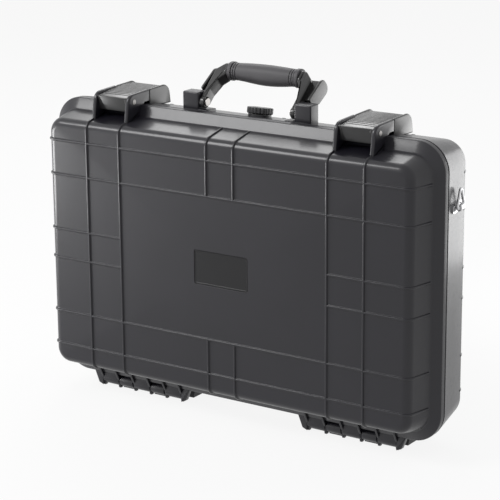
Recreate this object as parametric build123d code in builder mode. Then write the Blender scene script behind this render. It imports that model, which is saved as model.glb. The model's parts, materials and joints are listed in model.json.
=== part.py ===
"""Waterproof tool case with a hinged lid, two latches and a swinging handle.

The case stands on its feet as it does in use: +Z is up, the lid faces -Y, +X is
the case's left-to-right direction seen from the lid, and the origin is the middle
of the floor under it. All lengths are in millimetres and all angles in degrees.
"""
from build123d import *
import math
import os

os.makedirs("parts", exist_ok=True)

# Case body
rim_half_width = 224.0
rim_half_height = 145.0
rim_corner_radius = 30.0
lid_depth = 42.0
base_depth = 54.0
draft_angle = 10.5
parting_gap = 1.2
ground_clearance = 15.0

# Lid shell
tray_side_inset = 11.0
tray_end_inset = 13.0
tray_corner_radius = 14.0
tray_edge_radius = 9.0
lid_wall = 3.3
flange_thickness = 8.0
flange_bevel = 2.0
cove_radius = 2.2

# Base shell
base_side_wall = 6.5
base_top_wall = 8.5
base_back_wall = 3.5
base_edge_radius = 9.0
cavity_draft = 7.9

# Ribs moulded on the lid and on the back
rib_width = 2.4
rib_proud = 1.5
rib_outer_inset = 37.7
rib_inner_inset = 73.0
rib_mid_height = 15.1
rib_middle_x = 15.6
rib_end_gap = 4.0
back_rib_depth = 8.0

# Blank name plate let into the lid
plate_width = 62.0
plate_height = 34.0
plate_thickness = 1.0
plate_corner = 2.0
plate_recess = 1.4
plate_fit = 0.15

# Seal in the lid's rim
seal_inset = 2.3
seal_width = 2.4
seal_groove_depth = 2.6
seal_thickness = 3.4

# Hinge along the bottom
hinge_height = 8.0
knuckle_radius = 6.3
hinge_pin_radius = 2.0
running_clearance = 0.05
side_clearance = 0.5
hinge_end_inset = 98.0
knuckle_pitch = 20.0
knuckle_count = 5
gusset_thickness = 2.6
gusset_start_gap = 8.0
gusset_toe = 4.0
gusset_slant = 1.5
end_wedge_reach = 11.0
end_wedge_gap = 0.4
base_web_depth = 10.0

# Feet
foot_setback = 12.0
foot_depth = 36.0
foot_half_length = 58.0
foot_end_slope = 5.0
foot_chamfer = 4.0
foot_slot_count = 4
foot_slot_pitch = 20.0
foot_slot_width = 12.0
foot_slot_depth = 10.0
foot_floor = 3.0
foot_screw_radius = 2.0
foot_screw_head_radius = 4.0
foot_screw_head = 2.4
foot_screw_bite = 4.5
foot_screw_spacing = 80.0
foot_screw_recess = 4.0

# Latches
latch_end_inset = 84.0
ear_offset = 20.0
ear_thickness = 3.6
ear_rise = 13.0
ear_front_depth = 14.5
ear_front_lean = 1.2
ear_front_radius = 16.0
ear_rear_radius = 3.0
ear_overhang = 8.0
ear_overhang_gap = 2.0
latch_pivot_setback = 18.0
latch_pivot_rise = 4.5
latch_pin_radius = 1.6
latch_pin_head_radius = 2.6
latch_pin_head = 0.7
lever_side_gap = 0.4
lever_wall = 2.8
lever_boss_radius = 4.2
lever_front_reach = 7.0
lever_lip_rise = 2.5
lever_lip_round = 0.8
lever_skirt_drop = 5.5
lever_skirt_lean = 3.2
lever_shoulder_gap = 0.9
lever_crown_radius = 250.0
lever_crown_run = 20.0
lever_rear_run = 37.0
lever_rear_lean = 3.0
lever_rear_radius = 12.0
lever_tail_drop = 6.3
lever_top_rise = 0.8
lever_underside_gap = 0.5
lever_finger_notch = 3.0
lever_bead_radius = 1.6
lever_bead_sink = 0.6
lever_bead_inset = 0.4
lever_groove_count = 9
lever_groove_width = 1.2
lever_groove_depth = 0.7
lever_groove_pitch = 4.6
latch_pocket_drop = 4.5
latch_pocket_clearance = 0.1
strike_setback = 3.0
strike_thickness = 4.0
strike_rise = 3.0
strike_half_width = 12.0
strike_edge_radius = 0.6
claw_pivot_run = 9.0
claw_pivot_rise = 6.2
claw_boss_radius = 3.5
claw_pin_radius = 1.5
claw_half_width = 12.0
claw_lip_thickness = 3.5
claw_lip_gap = 0.3
claw_lip_drop = 3.2
claw_reach = 1.0

# Carrying handle
post_width = 18.5
post_front = 7.0
post_thickness = 15.0
post_above_pivot = 10.0
post_edge_radius = 1.5
post_step_width = 11.0
post_step_rise = 0.2
handle_setback = 10.0
handle_pivot_rise = 7.0
handle_lean = 42.0
handle_arm_length = 40.5
handle_pin_radius = 2.5
handle_pin_bite = 10.0
handle_pin_head_radius = 3.8
handle_pin_head = 1.0
arm_spread = 8.5
arm_side_gap = 0.6
arm_thickness = 4.8
arm_boss_radius = 6.0
arm_front = 6.0
arm_back = 7.0
cheek_root_reach = 12.2
cheek_shoulder_reach = 22.3
cheek_tip_width = 6.2
cheek_tip_margin = 1.5
cheek_tip_corner = 2.0
leaf_offset = 8.2
leaf_thickness = 2.8
leaf_root_gap = 1.2
leaf_root_front = 3.6
leaf_root_back = 4.0
leaf_tip_reach = 4.6
leaf_tip_front = 1.0
leaf_tip_back = 18.6
leaf_tip_radius = 6.5
leaf_heel_run = 9.2
leaf_heel_back = 14.6
leaf_web_inset = 2.0
leaf_web_thickness = 3.0
core_radius = 5.5
core_tail = 3.5
grip_half_length = 41.0
grip_middle_radius = 9.8
grip_end_radius = 8.7
grip_collar_radius = 9.5
grip_collar_width = 4.0
grip_groove_width = 1.0
grip_groove_depth = 0.6
grip_edge = 0.6
grip_end_gap = 0.3

# Pressure valve on the top wall
valve_setback = 28.0
valve_hole_radius = 6.0
valve_collar_radius = 11.5
valve_collar = 2.0
valve_stem_below = 8.0
valve_bore_radius = 3.0
valve_nut_radius = 10.0
valve_nut_thickness = 4.0
valve_nut_gap = 0.7
valve_seal_wire = 1.2
valve_seal_radius = 8.6
valve_knob_radius = 13.0
valve_knob_height = 6.4
valve_knob_gap = 0.4
valve_knob_stem = 7.0
valve_knob_flutes = 20
valve_flute_radius = 1.2

# Shoulder strap rings on the base's side walls
strap_setback = 22.0
strap_drop = 65.0
strap_plate_length = 27.0
strap_plate_height = 9.0
strap_plate_thickness = 1.6
strap_plate_corner = 4.0
strap_tube_radius = 3.2
strap_tube_length = 9.0
strap_tube_sink = 0.4
ring_wire_radius = 1.3
ring_half_width = 11.0
ring_rise = 21.0
ring_bend_radius = 3.2
strap_screw_spacing = 20.0
strap_screw_radius = 1.4
strap_screw_head_radius = 2.6
strap_screw_head = 1.1
strap_screw_length = 6.0

# Small allowance by which joined shapes run into each other
overlap = 1.0

# Worked out from the sizes above
tray_half_width = rim_half_width - tray_side_inset
tray_half_height = rim_half_height - tray_end_inset
rib_outer_height = rim_half_height - rib_outer_inset
rib_inner_height = rim_half_height - rib_inner_inset
slope = math.tan(math.radians(draft_angle))
cavity_slope = math.tan(math.radians(cavity_draft))
front_y = -(lid_depth + base_depth) / 2
case_centre_z = rim_half_height + ground_clearance
flange_front_depth = lid_depth - flange_thickness
lid_rim_depth = lid_depth - parting_gap / 2
base_rim_depth = lid_depth + parting_gap / 2
total_depth = lid_depth + base_depth
rib_end_depth = flange_front_depth - rib_end_gap
lid_cavity_half_width = tray_half_width + slope * flange_front_depth - lid_wall
lid_cavity_half_height = tray_half_height + slope * flange_front_depth - lid_wall
lid_cavity_radius = tray_corner_radius + slope * flange_front_depth - lid_wall
base_cavity_half_width = rim_half_width - base_side_wall
base_cavity_half_height = rim_half_height - base_top_wall
base_cavity_radius = rim_corner_radius - base_top_wall
hinge_centre_x = rim_half_width - hinge_end_inset
gusset_start_depth = flange_front_depth - gusset_start_gap
foot_start_depth = lid_depth + foot_setback
latch_centre_x = rim_half_width - latch_end_inset
ear_height = rim_half_height + ear_rise
ear_rear_depth = lid_depth + ear_overhang
ear_inner = ear_offset - ear_thickness / 2
ear_outer = ear_offset + ear_thickness / 2
latch_pivot_depth = lid_depth - latch_pivot_setback
latch_pivot_height = rim_half_height + latch_pivot_rise
latch_pocket_height = rim_half_height - latch_pocket_drop
tongue_half_width = ear_inner - lever_side_gap
lever_half_width = ear_outer - lever_side_gap
lever_front_depth = latch_pivot_depth - lever_front_reach
lever_crown_depth = ear_rear_depth + lever_crown_run
lever_rear_depth = ear_rear_depth + lever_rear_run
lever_skirt_height = rim_half_height - lever_skirt_drop
lever_tail_height = rim_half_height - lever_tail_drop
latch_pocket_half_width = lever_half_width + latch_pocket_clearance
claw_pivot_depth = ear_rear_depth + claw_pivot_run
claw_pivot_height = rim_half_height + claw_pivot_rise
strike_depth = claw_pivot_depth + strike_setback
hinge_axis_height = hinge_height - case_centre_z
handle_pivot_depth = lid_depth + handle_setback
handle_pivot_height = rim_half_height + handle_pivot_rise
post_depth = handle_pivot_depth - post_front
post_height = handle_pivot_height + post_above_pivot
post_step_height = rim_half_height + post_step_rise
post_inner_x = grip_half_length + arm_spread + arm_thickness + 2 * arm_side_gap
core_half_length = grip_half_length + core_tail
leaf_root_reach = math.hypot(max(post_front, post_thickness - post_front), post_above_pivot) + leaf_root_gap
leaf_heel_reach = leaf_root_reach + leaf_heel_run
valve_depth = lid_depth + valve_setback
strap_depth = lid_depth + strap_setback
strap_height = rim_half_height - strap_drop
shoulder_radius = math.hypot(ear_rear_depth - latch_pivot_depth, ear_height - latch_pivot_height)
ring_lift = strap_plate_thickness + strap_tube_radius - strap_tube_sink


def y_at(depth):
    """Place of a depth behind the lid's front face."""
    return front_y + depth


def z_at(height):
    """Place of a height above the middle of the case."""
    return case_centre_z + height


def tray_top(depth):
    """Half-height of the lid tray's outside at a depth."""
    return tray_half_height + slope * depth


def base_top(depth):
    """Half-height of the base's outside at a depth."""
    return rim_half_height - slope * (depth - base_rim_depth)


def base_ceiling(depth):
    """Half-height of the base's cavity at a depth."""
    return base_cavity_half_height - cavity_slope * (depth - base_rim_depth)


def base_side(depth):
    """Half-width of the base's outside at a depth."""
    return rim_half_width - slope * (depth - base_rim_depth)


def facing_front(depth):
    """Upright plane across the case at a depth, seen from the front."""
    return Plane(origin=(0, y_at(depth), case_centre_z), x_dir=(1, 0, 0), z_dir=(0, -1, 0))


def facing_back(depth):
    """Upright plane across the case at a depth, looking towards the back."""
    return Plane(origin=(0, y_at(depth), case_centre_z), x_dir=(1, 0, 0), z_dir=(0, 1, 0))


def tapered_block(plane, half_width, half_height, radius, length, taper):
    """Rounded rectangle drawn out along its plane's normal with a draft."""
    with BuildPart() as block:
        with BuildSketch(plane):
            RectangleRounded(2 * half_width, 2 * half_height, radius)
        extrude(amount=length, taper=taper)
    return block.part


def side_profile(points, x_start, width):
    """Closed outline of (depth, height) points, drawn out along X."""
    with BuildPart() as slab:
        with BuildSketch(Plane.YZ.offset(x_start)):
            with BuildLine():
                Polyline(*[(y_at(depth), z_at(height)) for depth, height in points], close=True)
            make_face()
        extrude(amount=width, dir=(1, 0, 0))
    return slab.part


def bar_along_x(depth, height, radius, x_start, x_end):
    """Round bar parallel to X."""
    with BuildPart() as bar:
        with BuildSketch(Plane.YZ.offset(min(x_start, x_end))):
            with Locations((y_at(depth), z_at(height))):
                Circle(radius)
        extrude(amount=abs(x_end - x_start))
    return bar.part


def block_between(x_range, depth_range, height_range):
    """Box between two places along each direction."""
    centre = (sum(x_range) / 2, y_at(sum(depth_range) / 2), z_at(sum(height_range) / 2))
    with BuildPart() as block:
        with Locations(centre):
            Box(
                abs(x_range[1] - x_range[0]),
                abs(depth_range[1] - depth_range[0]),
                abs(height_range[1] - height_range[0]),
            )
    return block.part


def mirrored(part):
    """The same piece on the other side of the case."""
    with BuildPart() as copy:
        add(part)
        mirror(about=Plane.YZ, mode=Mode.REPLACE)
    return copy.part


def finish(part, name):
    """Name a piece and write its file."""
    part.label = name
    export_step(part, "parts/" + name + ".step")


def rib_slabs(depth_range, full_width_heights):
    """Thin slabs where ribs run: upright pairs, level lines and short middle marks."""
    reach = rim_half_width + rim_half_height
    inner = rib_inner_height
    half = rib_width / 2
    slabs = []
    for x in (-latch_centre_x - ear_offset, -latch_centre_x + ear_offset,
              latch_centre_x - ear_offset, latch_centre_x + ear_offset):
        slabs.append(block_between((x - half, x + half), depth_range, (-reach, reach)))
    for height in full_width_heights:
        slabs.append(block_between((-reach, reach), depth_range, (height - half, height + half)))
    for x in (-rib_middle_x, rib_middle_x):
        for sign in (-1, 1):
            slabs.append(block_between((x - half, x + half), depth_range, (sign * inner, sign * reach)))
    for height in (-rib_mid_height, rib_mid_height):
        for sign in (-1, 1):
            start = sign * (latch_centre_x - ear_offset)
            slabs.append(block_between((start, sign * reach), depth_range, (height - half, height + half)))
    with BuildPart() as all_slabs:
        add(slabs)
    return all_slabs.part


def tray_form(grow):
    """Solid outside form of the lid's tray, grown evenly by a rib's height."""
    start = flange_front_depth + overlap
    block = tapered_block(
        facing_front(start),
        tray_half_width + slope * start + grow,
        tray_half_height + slope * start + grow,
        tray_corner_radius + slope * start + grow,
        start + grow,
        draft_angle,
    )
    with BuildPart() as form:
        add(block)
        fillet(form.faces().sort_by(Axis.Y)[0].edges(), tray_edge_radius + grow)
    return form.part


def back_form(grow):
    """Solid outside form of the base, grown by a rib's height at the back only."""
    block = tapered_block(
        facing_back(base_rim_depth),
        rim_half_width,
        rim_half_height,
        rim_corner_radius,
        base_depth - parting_gap / 2 + grow,
        draft_angle,
    )
    with BuildPart() as form:
        add(block)
        fillet(form.faces().sort_by(Axis.Y)[-1].edges(), base_edge_radius)
    return form.part


def latch_ear(x_middle):
    """One of the lid's upright ears that carry a latch pin."""
    outline = [
        (ear_front_depth, tray_top(ear_front_depth) - overlap),
        (ear_front_depth + ear_front_lean, ear_height),
        (ear_rear_depth, ear_height),
        (ear_rear_depth, rim_half_height + ear_overhang_gap),
        (lid_rim_depth, rim_half_height + ear_overhang_gap),
        (lid_rim_depth, rim_half_height - flange_bevel),
        (rib_end_depth, tray_top(rib_end_depth) - overlap),
    ]
    with BuildPart() as ear:
        add(side_profile(outline, x_middle - ear_thickness / 2, ear_thickness))
        front_edge, rear_edge = ear.edges().filter_by(Axis.X).group_by(Axis.Z)[-1].sort_by(Axis.Y)
        fillet(rear_edge, ear_rear_radius)
        fillet(front_edge, ear_front_radius)
    return ear.part


def hinge_places():
    """X places of the hinge's gussets on one side, from the inside out."""
    first = hinge_centre_x - knuckle_pitch * knuckle_count / 2
    return [first + knuckle_pitch * index for index in range(knuckle_count + 1)]


def lid_gusset(x_middle):
    """Thin web under the lid that carries a knuckle's end."""
    outline = [
        (gusset_start_depth, -tray_top(gusset_start_depth) + overlap),
        (lid_depth - gusset_toe - gusset_slant, hinge_axis_height),
        (lid_depth - gusset_toe, -case_centre_z),
        (lid_depth, -case_centre_z),
        (lid_depth, hinge_axis_height),
        (lid_rim_depth, -rim_half_height + flange_bevel),
    ]
    return side_profile(outline, x_middle - gusset_thickness / 2, gusset_thickness)


def lid_knuckle(x_start, x_end):
    """Hinge knuckle between two of the lid's gussets."""
    height = hinge_axis_height
    outline = [
        (lid_depth - knuckle_radius, height),
        (flange_front_depth + flange_bevel, -rim_half_height + overlap),
        (lid_rim_depth, -rim_half_height + overlap),
        (lid_rim_depth, height),
    ]
    barrel = bar_along_x(lid_depth, height, knuckle_radius, x_start, x_end)
    return [barrel, side_profile(outline, min(x_start, x_end), abs(x_end - x_start))]


def base_knuckle(x_start, x_end):
    """Hinge knuckle under the base, standing between two gussets."""
    height = hinge_axis_height
    heel = base_rim_depth + base_web_depth
    outline = [
        (lid_depth, -case_centre_z),
        (lid_depth + gusset_toe, -case_centre_z),
        (heel, -base_top(heel) + overlap),
        (base_rim_depth, -rim_half_height + overlap),
        (base_rim_depth, height),
        (lid_depth, height),
    ]
    barrel = bar_along_x(lid_depth, height, knuckle_radius, x_start, x_end)
    return [barrel, side_profile(outline, min(x_start, x_end), abs(x_end - x_start))]


def end_wedge(side):
    """Sloping ends of the lid's hinge, outside the last gussets."""
    places = hinge_places()
    wedges = []
    for edge, direction in ((places[-1], 1), (places[0], -1)):
        x_root = side * edge
        x_tip = side * (edge + direction * end_wedge_reach)
        with BuildPart() as wedge:
            with BuildSketch(Plane.XZ.offset(-y_at(flange_front_depth + flange_bevel))):
                with BuildLine():
                    Polyline(
                        (x_root, ground_clearance + overlap),
                        (x_tip, ground_clearance + overlap),
                        (x_root + (x_tip - x_root) / 2, gusset_thickness),
                        (x_root, end_wedge_gap),
                        close=True,
                    )
                make_face()
            extrude(amount=flange_thickness - flange_bevel - parting_gap / 2, dir=(0, 1, 0))
        wedges.append(wedge.part)
    return wedges


# Lid shell: tapered tray, flange, ribs, latch ears and hinge gussets in one moulding
lid_tray = tray_form(0)
lid_rib_form = tray_form(rib_proud)
lid_rib_slabs = rib_slabs(
    (-rib_proud - overlap, rib_end_depth),
    (-rib_outer_height, -rib_inner_height, rib_inner_height, rib_outer_height),
)
lid_cavity = tapered_block(
    facing_front(lid_rim_depth),
    lid_cavity_half_width,
    lid_cavity_half_height,
    lid_cavity_radius,
    lid_rim_depth - lid_wall,
    draft_angle,
)

with BuildPart() as lid_ribs:
    add(lid_rib_form)
    add(lid_rib_slabs, mode=Mode.INTERSECT)

with BuildPart() as lid_flange:
    with BuildSketch(facing_front(lid_rim_depth)):
        RectangleRounded(2 * rim_half_width, 2 * rim_half_height, rim_corner_radius)
    extrude(amount=lid_rim_depth - flange_front_depth)
    chamfer(lid_flange.faces().sort_by(Axis.Y)[0].edges(), flange_bevel)

with BuildPart() as seal_groove:
    with BuildSketch(facing_front(lid_rim_depth)):
        RectangleRounded(
            2 * (lid_cavity_half_width + seal_inset + seal_width / 2),
            2 * (lid_cavity_half_height + seal_inset + seal_width / 2),
            lid_cavity_radius + seal_inset + seal_width / 2,
        )
        RectangleRounded(
            2 * (lid_cavity_half_width + seal_inset - seal_width / 2),
            2 * (lid_cavity_half_height + seal_inset - seal_width / 2),
            lid_cavity_radius + seal_inset - seal_width / 2,
            mode=Mode.SUBTRACT,
        )
    extrude(amount=seal_groove_depth)

lid_additions = [lid_ribs.part]
lid_cuts = [lid_cavity, seal_groove.part]
lid_cuts.append(
    tapered_block(
        facing_front(plate_recess),
        plate_width / 2 + plate_fit,
        plate_height / 2 + plate_fit,
        plate_corner + plate_fit,
        plate_recess + overlap,
        0,
    )
)
for side in (-1, 1):
    places = hinge_places()
    lid_additions += [latch_ear(side * latch_centre_x + offset) for offset in (-ear_offset, ear_offset)]
    lid_additions += [lid_gusset(side * place) for place in places]
    for index in range(0, knuckle_count, 2):
        lid_additions += lid_knuckle(side * places[index], side * places[index + 1])
    lid_additions += end_wedge(side)
    lid_cuts.append(
        bar_along_x(
            lid_depth,
            hinge_axis_height,
            hinge_pin_radius + running_clearance,
            side * (places[0] - knuckle_pitch),
            side * (places[-1] + knuckle_pitch),
        )
    )
    lid_cuts.append(
        bar_along_x(
            latch_pivot_depth,
            latch_pivot_height,
            latch_pin_radius,
            side * latch_centre_x - ear_outer - overlap,
            side * latch_centre_x + ear_outer + overlap,
        )
    )

with BuildPart() as lid_shell:
    add([lid_tray, lid_flange.part])
    step_face = lid_shell.faces().filter_by(Axis.Y).filter_by(
        lambda face: abs(face.center().Y - y_at(flange_front_depth)) < overlap / 2
    )[0]
    fillet(step_face.inner_wires()[0].edges(), cove_radius)
    add(lid_additions)
    add(lid_cuts, mode=Mode.SUBTRACT)
finish(lid_shell.part, "lid_shell")

# Blank name plate
with BuildPart() as name_plate:
    with BuildSketch(facing_front(plate_recess)):
        RectangleRounded(plate_width, plate_height, plate_corner)
    extrude(amount=plate_thickness)
    chamfer(name_plate.faces().sort_by(Axis.Y)[0].edges(), plate_fit)
finish(name_plate.part, "name_plate")

# Seal cord lying in the lid's groove
with BuildPart() as lid_seal:
    with BuildSketch(facing_back(lid_rim_depth - seal_groove_depth)):
        RectangleRounded(
            2 * (lid_cavity_half_width + seal_inset + seal_width / 2),
            2 * (lid_cavity_half_height + seal_inset + seal_width / 2),
            lid_cavity_radius + seal_inset + seal_width / 2,
        )
        RectangleRounded(
            2 * (lid_cavity_half_width + seal_inset - seal_width / 2),
            2 * (lid_cavity_half_height + seal_inset - seal_width / 2),
            lid_cavity_radius + seal_inset - seal_width / 2,
            mode=Mode.SUBTRACT,
        )
    extrude(amount=seal_thickness)
    fillet(lid_seal.faces().sort_by(Axis.Y)[-1].edges(), seal_width / 4)
finish(lid_seal.part, "lid_seal")

# Base shell: drafted tub with handle posts, latch pockets, strikes and hinge knuckles
base_outside = back_form(0)
base_rib_form = back_form(rib_proud)
base_rib_slabs = rib_slabs(
    (total_depth - back_rib_depth, total_depth + rib_proud + overlap),
    (-rib_outer_height, -rib_inner_height, rib_inner_height, rib_outer_height),
)
base_cavity = tapered_block(
    facing_back(base_rim_depth),
    base_cavity_half_width,
    base_cavity_half_height,
    base_cavity_radius,
    base_depth - parting_gap / 2 - base_back_wall,
    cavity_draft,
)

with BuildPart() as base_ribs:
    add(base_rib_form)
    add(base_rib_slabs, mode=Mode.INTERSECT)


def handle_post(side):
    """Block that carries one end of the handle, with its low inner step."""
    x_inner = side * post_inner_x
    post = block_between(
        (x_inner, x_inner + side * post_width),
        (post_depth, post_depth + post_thickness),
        (base_ceiling(post_depth + post_thickness) + overlap, post_height),
    )
    with BuildPart() as rounded:
        add(post)
        fillet(rounded.edges().filter_by(Axis.Z), post_edge_radius)
        fillet(rounded.faces().sort_by(Axis.Z)[-1].edges(), post_edge_radius * 0.9)
    step = block_between(
        (x_inner - side * post_step_width, x_inner + side * overlap),
        (post_depth, post_depth + post_thickness),
        (base_ceiling(post_depth + post_thickness) + overlap, post_step_height),
    )
    return [rounded.part, step]


def latch_pocket(side):
    """Level notch in the top of the base under a latch."""
    centre = side * latch_centre_x
    return block_between(
        (centre - latch_pocket_half_width, centre + latch_pocket_half_width),
        (lid_rim_depth - overlap, total_depth + overlap),
        (latch_pocket_height, rim_half_height + overlap),
    )


def latch_strike(side):
    """Raised bar that the claw pulls against."""
    centre = side * latch_centre_x
    bar = block_between(
        (centre - strike_half_width, centre + strike_half_width),
        (strike_depth, strike_depth + strike_thickness),
        (latch_pocket_height - overlap, latch_pocket_height + strike_rise),
    )
    with BuildPart() as rounded:
        add(bar)
        fillet(rounded.faces().sort_by(Axis.Z)[-1].edges(), strike_edge_radius)
    return rounded.part


valve_plane = Plane(
    origin=(0, y_at(valve_depth), z_at(base_top(valve_depth))),
    x_dir=(1, 0, 0),
    z_dir=(0, math.sin(math.radians(draft_angle)), math.cos(math.radians(draft_angle))),
)


def disc(plane, radius, height):
    """Round disc standing on a plane."""
    with BuildPart() as piece:
        with BuildSketch(plane):
            Circle(radius)
        extrude(amount=height)
    return piece.part


def strap_plane(side, lift):
    """Plane on the base's side wall at the strap bracket, raised off the wall."""
    angle = math.radians(draft_angle)
    wall = (side * base_side(strap_depth), y_at(strap_depth), z_at(strap_height))
    normal = Vector(side * math.cos(angle), math.sin(angle), 0)
    along = Vector(-math.sin(angle), side * math.cos(angle), 0)
    return Plane(origin=Vector(*wall) + normal * lift, x_dir=along, z_dir=normal)


def screw_holes(plane, spacing, radius, length):
    """Two round holes in a row along a plane's first direction."""
    with BuildPart() as holes:
        with BuildSketch(plane):
            with GridLocations(spacing, 0, 2, 1):
                Circle(radius)
        extrude(amount=length)
    return holes.part


foot_middle_depth = foot_start_depth + foot_depth / 2
foot_screw_length = z_at(-base_top(foot_middle_depth)) + foot_screw_bite - foot_screw_recess


def foot_plane(side, height):
    """Level plane at the middle of a foot."""
    return Plane(origin=(side * hinge_centre_x, y_at(foot_middle_depth), height))


base_additions = [base_ribs.part]
valve_hole = disc(valve_plane.offset(-base_top_wall - overlap), valve_hole_radius, 2 * base_top_wall)
base_cuts = [base_cavity, valve_hole]
base_late_additions = []
base_late_cuts = []
for side in (-1, 1):
    places = hinge_places()
    gap = gusset_thickness / 2 + side_clearance
    base_additions += handle_post(side)
    for index in range(1, knuckle_count, 2):
        base_additions += base_knuckle(side * (places[index] + gap), side * (places[index + 1] - gap))
    base_cuts.append(latch_pocket(side))
    base_late_additions.append(latch_strike(side))
    base_late_cuts.append(
        bar_along_x(
            handle_pivot_depth,
            handle_pivot_height,
            handle_pin_radius,
            side * (post_inner_x - overlap),
            side * (post_inner_x + handle_pin_bite),
        )
    )
    base_late_cuts.append(
        bar_along_x(
            lid_depth,
            hinge_axis_height,
            hinge_pin_radius,
            side * places[0],
            side * places[-1],
        )
    )
    base_late_cuts.append(
        screw_holes(
            foot_plane(side, foot_screw_recess),
            foot_screw_spacing,
            foot_screw_radius,
            foot_screw_length,
        )
    )
    base_late_cuts.append(
        screw_holes(
            strap_plane(side, 0),
            strap_screw_spacing,
            strap_screw_radius,
            strap_plate_thickness - strap_screw_length,
        )
    )

with BuildPart() as base_shell:
    add(base_outside)
    add(base_additions)
    add(base_cuts, mode=Mode.SUBTRACT)
    add(base_late_additions)
    add(base_late_cuts, mode=Mode.SUBTRACT)
finish(base_shell.part, "base_shell")


# Feet under the base, one pad under each hinge
def make_foot(side):
    """Ribbed pad with sloping ends, screwed up into the base."""
    rear_depth = foot_start_depth + foot_depth
    half = foot_half_length
    with BuildPart() as foot:
        with BuildSketch(Plane.XZ.offset(-y_at(foot_start_depth))):
            with BuildLine():
                Polyline(
                    (side * hinge_centre_x - half, ground_clearance + 2 * foot_end_slope),
                    (side * hinge_centre_x + half, ground_clearance + 2 * foot_end_slope),
                    (side * hinge_centre_x + half - foot_end_slope, 0),
                    (side * hinge_centre_x - half + foot_end_slope, 0),
                    close=True,
                )
            make_face()
        extrude(amount=foot_depth, dir=(0, 1, 0))
        chamfer(foot.edges().filter_by(Axis.X).group_by(Axis.Z)[0].sort_by(Axis.Y)[-1:], foot_chamfer)
    above_base = side_profile(
        [
            (foot_start_depth - overlap, -base_top(foot_start_depth - overlap)),
            (rear_depth + overlap, -base_top(rear_depth + overlap)),
            (rear_depth + overlap, 0),
            (foot_start_depth - overlap, 0),
        ],
        side * hinge_centre_x - 2 * half,
        4 * half,
    )
    slots = []
    for index in range(foot_slot_count):
        centre = side * hinge_centre_x + foot_slot_pitch * (index - (foot_slot_count - 1) / 2)
        slots.append(
            block_between(
                (centre - foot_slot_width / 2, centre + foot_slot_width / 2),
                (rear_depth - foot_slot_depth, rear_depth + overlap),
                (foot_floor - case_centre_z, 0),
            )
        )
    ground = foot_plane(side, 0)
    head_room = screw_holes(ground, foot_screw_spacing, foot_screw_head_radius, foot_screw_recess)
    shank_room = screw_holes(
        ground, foot_screw_spacing, foot_screw_radius + running_clearance, 3 * ground_clearance
    )
    with BuildPart() as shaped:
        add(foot.part)
        add([above_base, head_room, shank_room] + slots, mode=Mode.SUBTRACT)
    return shaped.part


def make_foot_screws():
    """Four countersunk-style screws, two up into each foot."""
    screws = []
    for side in (-1, 1):
        screws.append(
            screw_holes(
                foot_plane(side, foot_screw_recess - foot_screw_head),
                foot_screw_spacing,
                foot_screw_head_radius - side_clearance / 2,
                foot_screw_head,
            )
        )
        screws.append(
            screw_holes(
                foot_plane(side, foot_screw_recess),
                foot_screw_spacing,
                foot_screw_radius,
                foot_screw_length,
            )
        )
    with BuildPart() as group:
        add(screws)
    return group.part


def make_hinge_pin(side):
    """Steel rod through one hinge's knuckles."""
    places = hinge_places()
    with BuildPart() as pin:
        add(
            bar_along_x(
                lid_depth,
                hinge_axis_height,
                hinge_pin_radius,
                side * (places[0] - end_wedge_reach / 2),
                side * (places[-1] + end_wedge_reach / 2),
            )
        )
        chamfer(pin.edges().filter_by(GeomType.CIRCLE), hinge_pin_radius / 4)
    return pin.part


# Latches: lever, claw and their two pins, all on the lid
def lever_top(depth):
    """Height of the lever's crowned top, a large arc that is highest at the crown's depth."""
    drop = lever_crown_radius - math.sqrt(lever_crown_radius**2 - (lever_crown_depth - depth) ** 2)
    return ear_height + lever_top_rise - drop


def lever_slab(inset, underside, centre, half_width):
    """Side view of the lever above an underside, pulled in by a wall and drawn out along X."""

    def place(depth, height):
        return (y_at(depth), z_at(height))

    front = lever_front_depth + inset
    rear = lever_rear_depth - inset
    top = lever_top(lever_crown_depth) - inset
    arc_start = front + lever_lip_round
    arc_middle = (arc_start + lever_crown_depth) / 2
    crown_front = place(arc_start, lever_top(arc_start) - inset)
    crown_rear = place(lever_crown_depth, top)
    lip = place(front, lever_top(front) - inset - lever_lip_rise)
    tail = place(rear, lever_tail_height)
    with BuildPart() as slab:
        with BuildSketch(Plane.YZ.offset(centre - half_width)):
            with BuildLine():
                ThreePointArc(crown_front, place(arc_middle, lever_top(arc_middle) - inset), crown_rear)
                FilletPolyline(
                    crown_rear, place(rear - lever_rear_lean, top), tail, radius=lever_rear_radius - inset
                )
                Polyline(tail, *[place(*point) for point in underside], lip, crown_front)
            make_face()
        extrude(amount=2 * half_width, dir=(1, 0, 0))
    return slab.part


def shoulder_discs(centre, inner, radius):
    """Round shapes beside the tongue, centred on the lever's pivot, where the ears stand."""
    return [
        bar_along_x(
            latch_pivot_depth,
            latch_pivot_height,
            radius,
            centre + sign * inner,
            centre + sign * (ear_outer + overlap),
        )
        for sign in (-1, 1)
    ]


def make_claw_pin(side):
    """Short pin across the lever that the claw hangs on."""
    centre = side * latch_centre_x
    reach = claw_half_width + side_clearance + lever_wall
    return bar_along_x(claw_pivot_depth, claw_pivot_height, claw_pin_radius, centre - reach, centre + reach)


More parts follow.
